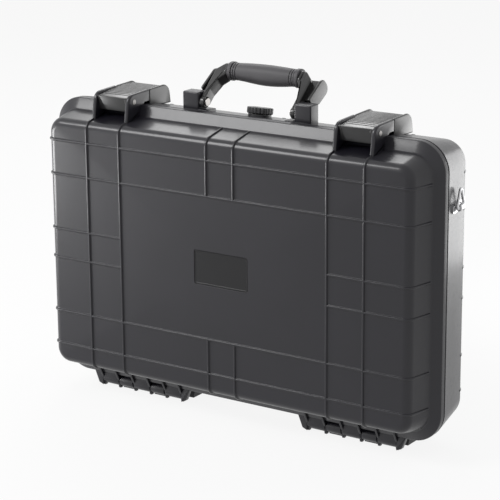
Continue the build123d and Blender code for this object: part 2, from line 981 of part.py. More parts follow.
def make_lever(side):
    """Latch lever: ribbed top, hollow underneath, narrow tongue between the lid's ears."""
    centre = side * latch_centre_x
    over_base = latch_pocket_height + lever_underside_gap
    over_rim = rim_half_height + ear_overhang_gap
    arc_radius = shoulder_radius + lever_shoulder_gap
    underside = [
        (strike_depth + strike_thickness + 2 * overlap, over_base),
        (ear_rear_depth - 2 * overlap, over_base),
        (lid_depth, over_rim),
        (latch_pivot_depth + lever_boss_radius, over_rim),
        (latch_pivot_depth, lever_skirt_height + overlap),
        (lever_front_depth + lever_skirt_lean, lever_skirt_height),
    ]
    below = lever_skirt_height - lever_wall - overlap
    open_underside = [
        (lever_rear_depth - lever_wall, below),
        (lever_front_depth + lever_skirt_lean + lever_wall, below),
    ]
    with BuildPart() as rear_hollow:
        add(lever_slab(lever_wall, open_underside, centre, lever_half_width - lever_wall))
        add(
            shoulder_discs(centre, tongue_half_width - lever_wall, arc_radius + lever_wall),
            mode=Mode.SUBTRACT,
        )
    tongue_hollow = lever_slab(lever_wall, open_underside, centre, tongue_half_width - lever_wall)
    notch_half_width = strike_half_width + side_clearance
    notch = block_between(
        (centre - notch_half_width, centre + notch_half_width),
        (lever_rear_depth - 2 * lever_wall, lever_rear_depth + overlap),
        (lever_tail_height - overlap, lever_tail_height + lever_finger_notch),
    )
    pivot_start = centre - tongue_half_width
    pivot_end = centre + tongue_half_width
    boss = bar_along_x(latch_pivot_depth, latch_pivot_height, lever_boss_radius, pivot_start, pivot_end)
    bore = bar_along_x(
        latch_pivot_depth,
        latch_pivot_height,
        latch_pin_radius + running_clearance,
        pivot_start - overlap,
        pivot_end + overlap,
    )
    cross_bore = make_claw_pin(side)
    claw_cheeks = []
    beads = []
    for sign in (-1, 1):
        cheek_inner = claw_half_width + side_clearance
        claw_cheeks.append(
            block_between(
                (centre + sign * cheek_inner, centre + sign * (cheek_inner + lever_wall)),
                (claw_pivot_depth - claw_boss_radius, claw_pivot_depth + claw_boss_radius),
                (claw_pivot_height - claw_boss_radius, lever_top(claw_pivot_depth) - lever_wall / 2),
            )
        )
        bead_start = ear_rear_depth + 2 * lever_shoulder_gap
        with BuildPart() as bead:
            with BuildSketch(Plane.XZ.offset(-y_at(bead_start))):
                with Locations(
                    (
                        centre + sign * (lever_half_width - lever_bead_radius - lever_bead_inset),
                        z_at(ear_height + lever_top_rise - lever_bead_sink),
                    )
                ):
                    Circle(lever_bead_radius)
            extrude(amount=lever_crown_depth - lever_bead_radius - bead_start, dir=(0, 1, 0))
            fillet(bead.edges().filter_by(GeomType.CIRCLE), lever_bead_radius / 2)
        beads.append(bead.part)
    grooves = []
    for index in range(lever_groove_count):
        depth = latch_pivot_depth + lever_groove_pitch * index
        grooves.append(
            bar_along_x(
                depth,
                lever_top(depth) + lever_groove_width / 2 - lever_groove_depth,
                lever_groove_width / 2,
                centre - tongue_half_width + lever_wall / 2,
                centre + tongue_half_width - lever_wall / 2,
            )
        )
    with BuildPart() as lever:
        add(lever_slab(0, underside, centre, lever_half_width))
        add(shoulder_discs(centre, tongue_half_width, arc_radius), mode=Mode.SUBTRACT)
        add(beads)
        add([tongue_hollow, rear_hollow.part], mode=Mode.SUBTRACT)
        add([boss] + claw_cheeks)
        add([bore, cross_bore, notch] + grooves, mode=Mode.SUBTRACT)
    return lever.part


def make_latch_pin(side):
    """Pin through the lid's ears that the lever turns on, with a thin head at each end."""
    centre = side * latch_centre_x
    heads = [
        bar_along_x(
            latch_pivot_depth,
            latch_pivot_height,
            latch_pin_head_radius,
            centre + sign * ear_outer,
            centre + sign * (ear_outer + latch_pin_head),
        )
        for sign in (-1, 1)
    ]
    with BuildPart() as pin:
        add(
            bar_along_x(
                latch_pivot_depth,
                latch_pivot_height,
                latch_pin_radius,
                centre - ear_outer,
                centre + ear_outer,
            )
        )
        add(heads)
    return pin.part


def make_claw(side):
    """Hook under the lever that reaches over the strike on the base."""
    centre = side * latch_centre_x
    lip_front = strike_depth + strike_thickness + claw_reach
    lip_rear = lip_front + claw_lip_thickness
    lip_bottom = latch_pocket_height + strike_rise + claw_lip_gap
    arm = side_profile(
        [
            (claw_pivot_depth, claw_pivot_height + claw_boss_radius),
            (claw_pivot_depth, claw_pivot_height - claw_boss_radius),
            (lip_front, lip_bottom + claw_lip_drop),
            (lip_front, lip_bottom),
            (lip_rear, lip_bottom),
            (lip_rear, claw_pivot_height),
        ],
        centre - claw_half_width,
        2 * claw_half_width,
    )
    boss = bar_along_x(
        claw_pivot_depth,
        claw_pivot_height,
        claw_boss_radius,
        centre - claw_half_width,
        centre + claw_half_width,
    )
    bore = bar_along_x(
        claw_pivot_depth,
        claw_pivot_height,
        claw_pin_radius + running_clearance,
        centre - claw_half_width - overlap,
        centre + claw_half_width + overlap,
    )
    with BuildPart() as claw:
        add([arm, boss])
        add(bore, mode=Mode.SUBTRACT)
    return claw.part


# Carrying handle: frame with two arms, rubber grip, and a pin in each post
lean = math.radians(handle_lean)
handle_origin = (0, y_at(handle_pivot_depth), z_at(handle_pivot_height))
arm_direction = Vector(0, math.cos(lean), math.sin(lean))
arm_normal = Vector(0, -math.sin(lean), math.cos(lean))
handle_plane = Plane(origin=handle_origin, x_dir=(1, 0, 0), z_dir=tuple(arm_normal))


def arm_side_plane(x):
    """Plane across X at one arm: first direction along the arm, second towards the front."""
    origin = (x, handle_origin[1], handle_origin[2])
    return Plane(origin=origin, x_dir=tuple(arm_direction), z_dir=(1, 0, 0))


def make_arm():
    """The handle's right arm: pivot boss, tapering cheek, outer leaf and the web between."""
    outer = post_inner_x - arm_side_gap
    inner = outer - arm_thickness
    leaf_x = outer + leaf_offset - leaf_thickness
    cheek_start = grip_half_length + grip_end_gap
    cheek_top = handle_arm_length + core_radius + cheek_tip_margin
    with BuildPart() as cheek:
        with BuildSketch(handle_plane.offset(-arm_back)):
            with BuildLine():
                Polyline(
                    (inner, 0),
                    (outer, 0),
                    (outer, cheek_shoulder_reach),
                    (cheek_start + cheek_tip_width, cheek_top - cheek_tip_corner),
                    (cheek_start, cheek_top),
                    (cheek_start, handle_arm_length - core_radius - cheek_tip_margin),
                    (inner, cheek_root_reach),
                    close=True,
                )
            make_face()
        extrude(amount=arm_back + arm_front)
    boss = disc(arm_side_plane(inner), arm_boss_radius, arm_thickness)
    tip = handle_arm_length + leaf_tip_reach
    with BuildPart() as leaf:
        with BuildSketch(arm_side_plane(leaf_x)):
            with BuildLine():
                Polyline(
                    (leaf_root_reach, leaf_root_front),
                    (tip, -leaf_tip_front),
                    (tip, -leaf_tip_back),
                    (leaf_heel_reach, -leaf_heel_back),
                    (leaf_root_reach, -leaf_root_back),
                    close=True,
                )
            make_face()
        extrude(amount=leaf_thickness, dir=(1, 0, 0))
        tip_edges = leaf.edges().filter_by(Axis.X).sort_by(Axis(handle_origin, tuple(arm_direction)))[-2:]
        fillet(tip_edges, leaf_tip_radius)
    web_start = cheek_start + cheek_tip_width / 2
    web_root = leaf_root_reach + leaf_web_inset
    web_tip = handle_arm_length + leaf_web_inset
    web_back = leaf_root_back + leaf_web_inset
    with BuildPart() as web:
        with BuildSketch(arm_side_plane(web_start)):
            with BuildLine():
                Polyline(
                    (web_root, -leaf_root_back),
                    (web_root, leaf_web_thickness - leaf_root_back),
                    (web_tip, leaf_web_thickness - web_back),
                    (web_tip, -web_back),
                    close=True,
                )
            make_face()
        extrude(amount=leaf_x + leaf_thickness / 2 - web_start, dir=(1, 0, 0))
    with BuildPart() as arm:
        add([cheek.part, boss, leaf.part, web.part])
    return arm.part


def make_handle_frame():
    """Both arms joined by the core rod inside the grip."""
    outer = post_inner_x - arm_side_gap
    core = disc(
        Plane(
            origin=Vector(-core_half_length, handle_origin[1], handle_origin[2])
            + arm_direction * handle_arm_length,
            z_dir=(1, 0, 0),
        ),
        core_radius,
        2 * core_half_length,
    )
    bore = bar_along_x(
        handle_pivot_depth,
        handle_pivot_height,
        handle_pin_radius + running_clearance,
        -outer - overlap,
        outer + overlap,
    )
    arm = make_arm()
    with BuildPart() as frame:
        add([core, arm, mirrored(arm)])
        add(bore, mode=Mode.SUBTRACT)
    return frame.part


def make_handle_grip():
    """Rubber sleeve on the core rod: swollen middle, then a fine groove and a collar at each end."""
    collar_start = grip_half_length - grip_collar_width
    groove_start = collar_start - grip_groove_width
    groove_floor = grip_end_radius - grip_groove_depth
    sleeve_plane = Plane(
        origin=Vector(*handle_origin) + arm_direction * handle_arm_length,
        x_dir=(1, 0, 0),
        z_dir=tuple(arm_normal),
    )
    with BuildPart() as grip:
        with BuildSketch(sleeve_plane):
            with BuildLine():
                ThreePointArc(
                    (-groove_start, grip_end_radius),
                    (0, grip_middle_radius),
                    (groove_start, grip_end_radius),
                )
                for sign in (-1, 1):
                    Polyline(
                        (sign * groove_start, grip_end_radius),
                        (sign * groove_start, groove_floor),
                        (sign * collar_start, groove_floor),
                        (sign * collar_start, grip_collar_radius),
                        (sign * (grip_half_length - grip_edge), grip_collar_radius),
                        (sign * grip_half_length, grip_collar_radius - grip_edge),
                        (sign * grip_half_length, core_radius),
                    )
                Line((-grip_half_length, core_radius), (grip_half_length, core_radius))
            make_face()
        revolve(axis=Axis(sleeve_plane.origin, (1, 0, 0)))
    return grip.part


def make_handle_pin(side):
    """Short steel pin from a post into the handle's arm, with a flat head inside the arm."""
    head_start = post_inner_x - 2 * arm_side_gap - arm_thickness
    with BuildPart() as pin:
        add(
            bar_along_x(
                handle_pivot_depth,
                handle_pivot_height,
                handle_pin_radius,
                side * head_start,
                side * (post_inner_x + handle_pin_bite),
            )
        )
        add(
            bar_along_x(
                handle_pivot_depth,
                handle_pivot_height,
                handle_pin_head_radius,
                side * head_start,
                side * (head_start - handle_pin_head),
            )
        )
    return pin.part


# Pressure valve
def make_valve_body():
    """Collared insert through the top wall with a central bore and a groove for its seal."""
    stem_length = base_top_wall + valve_stem_below
    stem_start = valve_plane.offset(-stem_length)
    seal_outer = valve_seal_radius + valve_seal_wire / 2
    seal_inner = valve_seal_radius - valve_seal_wire / 2
    bore_start = valve_plane.offset(valve_collar - valve_knob_stem)
    with BuildPart() as seal_room:
        add(disc(valve_plane.offset(-overlap), seal_outer, overlap + valve_seal_wire))
        add(
            disc(valve_plane.offset(-2 * overlap), seal_inner, 3 * overlap + valve_seal_wire),
            mode=Mode.SUBTRACT,
        )
    with BuildPart() as body:
        add(disc(valve_plane, valve_collar_radius, valve_collar))
        add(disc(stem_start, valve_hole_radius - running_clearance, stem_length + valve_collar / 2))
        add(seal_room.part, mode=Mode.SUBTRACT)
        add(
            disc(bore_start, valve_bore_radius + running_clearance, valve_knob_stem + overlap),
            mode=Mode.SUBTRACT,
        )
    return body.part


def make_valve_seal():
    """Ring between the valve's collar and the wall."""
    with BuildPart() as ring:
        with BuildSketch(valve_plane):
            Circle(valve_seal_radius + valve_seal_wire / 2)
            Circle(valve_seal_radius - valve_seal_wire / 2, mode=Mode.SUBTRACT)
        extrude(amount=valve_seal_wire)
    return ring.part


def make_valve_nut():
    """Six-sided nut that clamps the insert from inside the base."""
    wall = base_top(valve_depth) - base_ceiling(valve_depth)
    inside = valve_plane.offset(-wall - valve_nut_gap - valve_nut_thickness)
    with BuildPart() as nut:
        with BuildSketch(inside):
            RegularPolygon(valve_nut_radius, 6)
            Circle(valve_hole_radius, mode=Mode.SUBTRACT)
        extrude(amount=valve_nut_thickness)
    return nut.part


def make_valve_knob():
    """Fluted knob with a stem in the insert's bore."""
    top = valve_plane.offset(valve_collar + valve_knob_gap)
    with BuildPart() as knob:
        with BuildSketch(top):
            Circle(valve_knob_radius)
            with PolarLocations(valve_knob_radius + valve_flute_radius / 2, valve_knob_flutes):
                Circle(valve_flute_radius, mode=Mode.SUBTRACT)
        extrude(amount=valve_knob_height)
        stem_start = valve_plane.offset(valve_collar - valve_knob_stem + overlap)
        add(disc(stem_start, valve_bore_radius, valve_knob_stem + valve_knob_gap))
    return knob.part


# Shoulder strap rings
def make_strap_bracket(side):
    """Plate on the side wall with a tube across it that carries the ring."""
    plate_plane = strap_plane(side, 0)
    tube_plane = strap_plane(side, ring_lift)
    tube_start = Plane(
        origin=tube_plane.origin - tube_plane.x_dir * (strap_tube_length / 2),
        x_dir=(0, 0, 1),
        z_dir=tuple(tube_plane.x_dir),
    )
    with BuildPart() as bracket:
        with BuildSketch(plate_plane):
            RectangleRounded(strap_plate_length, strap_plate_height, strap_plate_corner)
            with GridLocations(strap_screw_spacing, 0, 2, 1):
                Circle(strap_screw_radius + running_clearance, mode=Mode.SUBTRACT)
        extrude(amount=strap_plate_thickness)
        add(disc(tube_start, strap_tube_radius, strap_tube_length))
        bore_start = tube_start.offset(-overlap)
        add(
            disc(bore_start, ring_wire_radius + running_clearance, strap_tube_length + 2 * overlap),
            mode=Mode.SUBTRACT,
        )
    return bracket.part


def make_strap_ring(side):
    """Three-sided wire ring whose straight foot turns in the bracket's tube."""
    with BuildPart() as ring:
        with BuildLine(strap_plane(side, ring_lift)) as path:
            FilletPolyline(
                (-ring_half_width, 0),
                (ring_half_width, 0),
                (0, ring_rise),
                radius=ring_bend_radius,
                close=True,
            )
        with BuildSketch(Plane(origin=path.wires()[0] @ 0, z_dir=path.wires()[0] % 0)):
            Circle(ring_wire_radius)
        sweep(path=path.wires()[0])
    return ring.part


def make_strap_screws():
    """Four small screws, two through each bracket's plate."""
    pieces = []
    for side in (-1, 1):
        pieces.append(
            screw_holes(
                strap_plane(side, strap_plate_thickness),
                strap_screw_spacing,
                strap_screw_head_radius,
                strap_screw_head,
            )
        )
        pieces.append(
            screw_holes(
                strap_plane(side, strap_plate_thickness),
                strap_screw_spacing,
                strap_screw_radius,
                -strap_screw_length,
            )
        )
    with BuildPart() as group:
        add(pieces)
    return group.part


for side, name in ((-1, "left"), (1, "right")):
    finish(make_foot(side), "foot_" + name)
    finish(make_hinge_pin(side), "hinge_pin_" + name)
    finish(make_lever(side), "latch_lever_" + name)
    finish(make_latch_pin(side), "latch_pin_" + name)
    finish(make_claw(side), "latch_claw_" + name)
    finish(make_claw_pin(side), "claw_pin_" + name)
    finish(make_handle_pin(side), "handle_pin_" + name)
    finish(make_strap_bracket(side), "strap_bracket_" + name)
    finish(make_strap_ring(side), "strap_ring_" + name)
finish(make_foot_screws(), "foot_screws")
finish(make_handle_frame(), "handle_frame")
finish(make_handle_grip(), "handle_grip")
finish(make_valve_body(), "valve_body")
finish(make_valve_seal(), "valve_seal")
finish(make_valve_nut(), "valve_nut")
finish(make_valve_knob(), "valve_knob")
finish(make_strap_screws(), "strap_screws")
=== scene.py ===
import json
import logging
import math
from dataclasses import dataclass
from enum import Enum

import bmesh
import bpy
import numpy as np
from mathutils import Matrix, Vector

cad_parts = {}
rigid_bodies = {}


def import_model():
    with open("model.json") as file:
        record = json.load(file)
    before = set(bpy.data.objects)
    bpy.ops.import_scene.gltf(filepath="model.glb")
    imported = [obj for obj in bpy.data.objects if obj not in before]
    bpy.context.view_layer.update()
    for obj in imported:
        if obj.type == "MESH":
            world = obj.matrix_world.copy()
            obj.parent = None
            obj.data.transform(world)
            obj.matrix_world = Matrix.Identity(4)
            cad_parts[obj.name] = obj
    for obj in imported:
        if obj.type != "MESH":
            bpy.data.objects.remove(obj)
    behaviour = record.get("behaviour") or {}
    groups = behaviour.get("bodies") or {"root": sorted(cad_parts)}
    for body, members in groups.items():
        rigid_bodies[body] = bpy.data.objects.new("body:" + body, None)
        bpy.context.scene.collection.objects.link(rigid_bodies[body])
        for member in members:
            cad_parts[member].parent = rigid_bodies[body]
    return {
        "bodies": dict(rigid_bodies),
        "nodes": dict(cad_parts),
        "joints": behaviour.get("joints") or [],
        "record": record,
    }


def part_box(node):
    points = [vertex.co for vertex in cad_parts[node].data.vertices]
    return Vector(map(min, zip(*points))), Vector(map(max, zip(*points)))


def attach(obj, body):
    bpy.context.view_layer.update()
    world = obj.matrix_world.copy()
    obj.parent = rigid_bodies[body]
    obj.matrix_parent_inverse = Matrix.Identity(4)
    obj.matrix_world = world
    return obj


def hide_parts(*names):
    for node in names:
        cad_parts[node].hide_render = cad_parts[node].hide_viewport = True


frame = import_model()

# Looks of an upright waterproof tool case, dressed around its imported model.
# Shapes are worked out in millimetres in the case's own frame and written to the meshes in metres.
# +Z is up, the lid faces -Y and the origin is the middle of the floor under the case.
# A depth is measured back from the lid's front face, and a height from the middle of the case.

log = logging.getLogger("tool_case")

Array = np.ndarray
Pair = tuple[float, float]
Triple = tuple[float, float, float]
Corners = tuple[Triple, ...]
Signs = tuple[int, ...]

MILLIMETRE = 0.001
WHITE = (1.0, 1.0, 1.0, 1.0)
BOTH = (-1, 1)
SIDES = ((-1, "left"), (1, "right"))

# Radii of small corners, in millimetres, and chords of a rounded end edge
KEEN = 0.2
CRISP = 0.3
EASED = 0.5
ROUND = 1.0
EDGE_STEPS = 4

# Sockets of a Mix node between two colours
MIX_SHARE = 0
MIX_FIRST = 6
MIX_SECOND = 7
MIX_RESULT = 2


class Slot(Enum):
    """The record's material slots, by what they finish."""

    SHELL = "shell_black"
    LATCH = "latch_black"
    FRAME = "frame_black"
    FOOT = "foot_black"
    PLATE = "plate_black"
    VALVE = "valve_black"
    GRIP = "grip_rubber"
    SEAL = "seal_rubber"
    STEEL = "pin_steel"
    CHROME = "chrome"


# Shader maths


class Value:
    """A socket's output that ordinary operators turn into Math nodes."""

    def __init__(self, shader: "Shader", socket: bpy.types.NodeSocket) -> None:
        """Keeps the socket and the shader tree that it belongs to."""
        self.shader = shader
        self.socket = socket

    def _math(self, operation: str, first: "Value | float", second: "Value | float") -> "Value":
        """Adds one Math node.

        Args:
            operation: The node's operation.
            first: What goes into its first socket.
            second: What goes into its second socket.

        Returns:
            The node's result.
        """
        return self.shader.node("ShaderNodeMath", {"operation": operation}, {0: first, 1: second})

    def __add__(self, other: "Value | float") -> "Value":
        """Sum with a value or a number."""
        return self._math("ADD", self, other)

    __radd__ = __add__

    def __sub__(self, other: "Value | float") -> "Value":
        """Difference from a value or a number."""
        return self._math("SUBTRACT", self, other)

    def __rsub__(self, other: float) -> "Value":
        """A number less this value."""
        return self._math("SUBTRACT", other, self)

    def __mul__(self, other: "Value | float") -> "Value":
        """Product with a value or a number."""
        return self._math("MULTIPLY", self, other)

    __rmul__ = __mul__

    def clamped(self) -> "Value":
        """The value held between 0 and 1."""
        return self.shader.node("ShaderNodeClamp", {}, {"Value": self})


class Shader:
    """One node tree, with a method that makes any node."""

    def __init__(self, tree: bpy.types.NodeTree) -> None:
        """Empties the tree and keeps it."""
        self.tree = tree
        self.tree.nodes.clear()

    def node(self, kind: str, settings: dict, inputs: dict, output: int | str = 0) -> Value:
        """Adds a node, applies its settings, then fills its sockets.

        Args:
            kind: The node's type.
            settings: Its properties, and a ramp's stops under "stops".
            inputs: Values or links by socket name or number.
            output: The socket to hand back.

        Returns:
            The chosen output.
        """
        made = self.tree.nodes.new(kind)
        for key, value in settings.items():
            if key == "stops":
                self._set_stops(made.color_ramp, value)
            else:
                setattr(made, key, value)
        for key, value in inputs.items():
            if isinstance(value, Value):
                self.tree.links.new(value.socket, made.inputs[key])
            else:
                made.inputs[key].default_value = value
        return Value(self, made.outputs[output])

    @staticmethod
    def _set_stops(ramp: bpy.types.ColorRamp, stops: list[Pair]) -> None:
        """Gives a ramp its stops.

        Args:
            ramp: The ramp to fill.
            stops: Pairs of position and grey level, from low to high.
        """
        while len(ramp.elements) < len(stops):
            ramp.elements.new(1.0)
        for element, (position, level) in zip(ramp.elements, stops):
            element.position = position
            element.color = (level, level, level, 1.0)

    def end(self, kind: str, surface: Value) -> None:
        """Links a surface to the tree's output node.

        Args:
            kind: The output node's type.
            surface: What goes into its Surface.
        """
        output = self.tree.nodes.new(kind)
        self.tree.links.new(surface.socket, output.inputs["Surface"])

    def finish(self, inputs: dict) -> None:
        """Ends a material in one Principled shader.

        Args:
            inputs: Values or links by socket name.
        """
        surface = self.node("ShaderNodeBsdfPrincipled", {}, inputs, "BSDF")
        self.end("ShaderNodeOutputMaterial", surface)

    def place(self) -> Value:
        """The piece's own coordinates, in metres."""
        return self.node("ShaderNodeTexCoord", {}, {}, "Object")

    def noise(self, where: Value, size: float, layers: float) -> Value:
        """Soft random pattern.

        Args:
            where: The coordinates that it follows.
            size: The size of one blotch, in millimetres.
            layers: How many finer layers it has.

        Returns:
            A value about 0.5.
        """
        inputs = {"Vector": where, "Scale": 1.0 / (size * MILLIMETRE), "Detail": layers}
        return self.node("ShaderNodeTexNoise", {}, inputs, "Fac")

    def ramp(self, value: Value, low: float, high: float) -> Value:
        """Climbs evenly from 0 to 1 between two levels of a value.

        Args:
            value: The pattern.
            low: Where the result is 0.
            high: Where the result is 1.

        Returns:
            A value from 0 to 1.
        """
        settings = {"stops": [(low, 0.0), (high, 1.0)]}
        return self.node("ShaderNodeValToRGB", settings, {"Fac": value})

    def tint(self, amount: Value, low: Triple, high: Triple) -> Value:
        """Colour between two colours.

        Args:
            amount: 0 for the first colour, 1 for the second.
            low: The first colour.
            high: The second colour.

        Returns:
            The mixed colour.
        """
        settings = {"data_type": "RGBA", "clamp_factor": True}
        inputs = {MIX_SHARE: amount, MIX_FIRST: (*low, 1.0), MIX_SECOND: (*high, 1.0)}
        return self.node("ShaderNodeMix", settings, inputs, MIX_RESULT)

    def bump(self, height: Value, depth: float) -> Value:
        """Surface normal from a height pattern.

        Args:
            height: The pattern, 0 to 1.
            depth: How deep it goes, in millimetres.

        Returns:
            The normal.
        """
        inputs = {"Strength": 1.0, "Distance": depth * MILLIMETRE, "Height": height}
        return self.node("ShaderNodeBump", {}, inputs, "Normal")


def new_material(name: str) -> tuple[bpy.types.Material, Shader]:
    """Starts an empty material.

    Args:
        name: Its name.

    Returns:
        The material and its shader tree.
    """
    material = bpy.data.materials.new(name)
    material.use_nodes = True
    return material, Shader(material.node_tree)


def scaled(colour: Triple, share: float) -> Triple:
    """A colour made darker or lighter by a share."""
    return tuple(part * share for part in colour)


# Finishes


@dataclass(frozen=True)
class MouldedPlastic:
    """Black moulded plastic with a fine spark-eroded grain, flow marks and a thin gloss.

    Sizes are in millimetres. The colour drifts between two near blacks over broad flow marks,
    the gloss drifts with it and is duller in the scuffs, and the grain is a shallow bump.
    """

    name: str
    colour: Triple
    drift: float = 0.25
    roughness: float = 0.38
    roughness_drift: float = 0.10
    refraction: float = 1.34
    coat: float = 0.45
    coat_roughness: float = 0.17
    grain: float = 0.55
    grain_layers: float = 2.0
    grain_depth: float = 0.03
    flow: float = 70.0
    flow_layers: float = 3.0
    scuffs_in_flow: float = 12.0
    scuff_layers: float = 6.0
    scuff_levels: Pair = (0.52, 0.72)
    scuff_dulling: float = 0.04

    def material(self) -> bpy.types.Material:
        """Builds the finish as a material.

        Returns:
            The material.
        """
        material, shader = new_material(self.name)
        place = shader.place()
        flow = shader.noise(place, self.flow, self.flow_layers)
        grain = shader.noise(place, self.grain, self.grain_layers)
        marks = shader.noise(place, self.flow / self.scuffs_in_flow, self.scuff_layers)
        scuff = shader.ramp(marks, *self.scuff_levels)
        dark = scaled(self.colour, 1.0 - self.drift)
        light = scaled(self.colour, 1.0 + self.drift)
        dulled = scuff * self.scuff_dulling
        roughness = self.roughness + (flow - 0.5) * self.roughness_drift + dulled
        shader.finish({
            "Base Color": shader.tint(flow, dark, light),
            "Roughness": roughness.clamped(),
            "IOR": self.refraction,
            "Coat Weight": self.coat,
            "Coat Roughness": self.coat_roughness,
            "Normal": shader.bump(grain, self.grain_depth),
        })
        return material


@dataclass(frozen=True)
class SoftRubber:
    """Soft matt rubber with a fine pebbled skin and a faint bloom, sizes in millimetres."""

    name: str
    colour: Triple
    roughness: float = 0.55
    roughness_drift: float = 0.12
    refraction: float = 1.45
    pebble: float = 0.8
    pebble_depth: float = 0.05
    bloom: float = 14.0
    bloom_layers: float = 4.0
    bloom_lift: float = 0.35

    def material(self) -> bpy.types.Material:
        """Builds the finish as a material.

        Returns:
            The material.
        """
        material, shader = new_material(self.name)
        place = shader.place()
        scale = 1.0 / (self.pebble * MILLIMETRE)
        settings = {"feature": "SMOOTH_F1"}
        inputs = {"Vector": place, "Scale": scale}
        cells = shader.node("ShaderNodeTexVoronoi", settings, inputs, "Distance")
        bloom = shader.noise(place, self.bloom, self.bloom_layers)
        pale = scaled(self.colour, 1.0 + self.bloom_lift)
        roughness = self.roughness + (bloom - 0.5) * self.roughness_drift
        shader.finish({
            "Base Color": shader.tint(bloom, self.colour, pale),
            "Roughness": roughness.clamped(),
            "IOR": self.refraction,
            "Normal": shader.bump(1.0 - cells, self.pebble_depth),
        })
        return material


@dataclass(frozen=True)
class BrightMetal:
    """Turned or plated metal with fine turning lines and a little haze, sizes in millimetres."""

    name: str
    colour: Triple
    roughness: float
    roughness_drift: float = 0.10
    line: float = 0.25
    line_layers: float = 1.0
    line_depth: float = 0.006
    haze: float = 9.0
    haze_layers: float = 4.0
    haze_dulling: float = 0.82

    def material(self) -> bpy.types.Material:
        """Builds the finish as a material.

        Returns:
            The material.
        """
        material, shader = new_material(self.name)
        place = shader.place()
        haze = shader.noise(place, self.haze, self.haze_layers)
        lines = shader.noise(place, self.line, self.line_layers)
        dull = scaled(self.colour, self.haze_dulling)
        roughness = self.roughness + (haze - 0.5) * self.roughness_drift
        shader.finish({
            "Base Color": shader.tint(haze, dull, self.colour),
            "Metallic": 1.0,
            "Roughness": roughness.clamped(),
            "Normal": shader.bump(lines, self.line_depth),
        })
        return material


FINISHES = {
    Slot.SHELL: MouldedPlastic("shell_plastic", (0.0065, 0.0060, 0.0100), roughness=0.44),
    Slot.LATCH: MouldedPlastic("latch_plastic", (0.014, 0.014, 0.0145), roughness=0.30),
    Slot.FRAME: MouldedPlastic("frame_plastic", (0.022, 0.022, 0.022), roughness=0.36),
    Slot.FOOT: MouldedPlastic("foot_plastic", (0.006, 0.006, 0.007), roughness=0.5, coat=0.1),
    Slot.PLATE: MouldedPlastic(
        "plate_plastic", (0.006, 0.006, 0.007), roughness=0.4, coat=0.1, grain_depth=0.012
    ),
    Slot.VALVE: MouldedPlastic("valve_plastic", (0.018, 0.018, 0.020), roughness=0.42),
    Slot.GRIP: SoftRubber("grip_rubber", (0.060, 0.058, 0.062)),
    Slot.SEAL: SoftRubber("seal_rubber", (0.020, 0.020, 0.021), pebble_depth=0.02),
    Slot.STEEL: BrightMetal("pin_steel", (0.30, 0.29, 0.28), 0.36),
    Slot.CHROME: BrightMetal("bright_plating", (0.56, 0.56, 0.57), 0.12, line_depth=0.002),
}


class Wardrobe:
    """Makes each finish once and hands it out."""

    def __init__(self) -> None:
        """Starts with no material made."""
        self._made: dict[Slot, bpy.types.Material] = {}

    def material(self, slot: Slot) -> bpy.types.Material:
        """Hands out the material of a slot.

        Args:
            slot: The material slot.

        Returns:
            Its material.
        """
        if slot not in self._made:
            self._made[slot] = FINISHES[slot].material()
        return self._made[slot]

    def dress_node(self, node: str, slot: Slot) -> None:
        """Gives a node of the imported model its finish.

        Args:
            node: The node's name.
            slot: Its material slot.
        """
        mesh = frame["nodes"][node].data
        mesh.materials.clear()
        mesh.materials.append(self.material(slot))
        log.info("%s of the packed model is dressed in %s", node, slot.value)


# Surfaces


class Along(Enum):
    """Direction in which an outline is drawn out."""

    X = "x"
    DEPTH = "depth"
    HEIGHT = "height"


@dataclass(frozen=True)
class Ground:
    """Where the case stands in its frame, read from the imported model, in millimetres."""

    front_y: float
    middle_z: float

    @classmethod
    def from_frame(cls, rib_rise: float) -> "Ground":
        """Reads the front face from the lid's box and the middle from the plate's box.

        Args:
            rib_rise: How far the lid's ribs stand off its front face.

        Returns:
            The case's place.
        """
        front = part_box("lid_shell")[0].y / MILLIMETRE + rib_rise
        low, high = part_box("name_plate")
        return cls(front, (low.z + high.z) / 2 / MILLIMETRE)

    def at(self, x: Array, depth: Array, height: Array) -> Array:
        """Points in the frame: (x, front plus depth, middle plus height).

        Args:
            x: Places across the case.
            depth: Depths behind the lid's front face.
            height: Heights above the middle of the case.

        Returns:
            An array with the three coordinates last.
        """
        x, depth, height = np.broadcast_arrays(x, depth, height)
        return np.stack([x, depth + self.front_y, height + self.middle_z], axis=-1)


def tangent(degrees: float) -> float:
    """Tangent of an angle in degrees."""
    return math.tan(math.radians(degrees))


def cosine(degrees: float) -> float:
    """Cosine of an angle in degrees."""
    return math.cos(math.radians(degrees))


def arc(centre: Pair, radius: float, start: float, stop: float, steps: int) -> Array:
    """Arc in a plane: the centre plus the radius times (cosine, sine) of even angles.

    Args:
        centre: The arc's centre.
        radius: Its radius.
        start: First angle, in degrees.
        stop: Last angle, in degrees.
        steps: Number of chords.

    Returns:
        An array of (steps + 1, 2).
    """
    angle = np.radians(np.linspace(start, stop, steps + 1))
    return np.array(centre) + radius * np.column_stack([np.cos(angle), np.sin(angle)])


def circle(centre: Pair, radius: float, steps: int) -> Array:
    """Closed circle in a plane, as an array of (steps, 2)."""
    return arc(centre, radius, 0, 360, steps)[:-1]


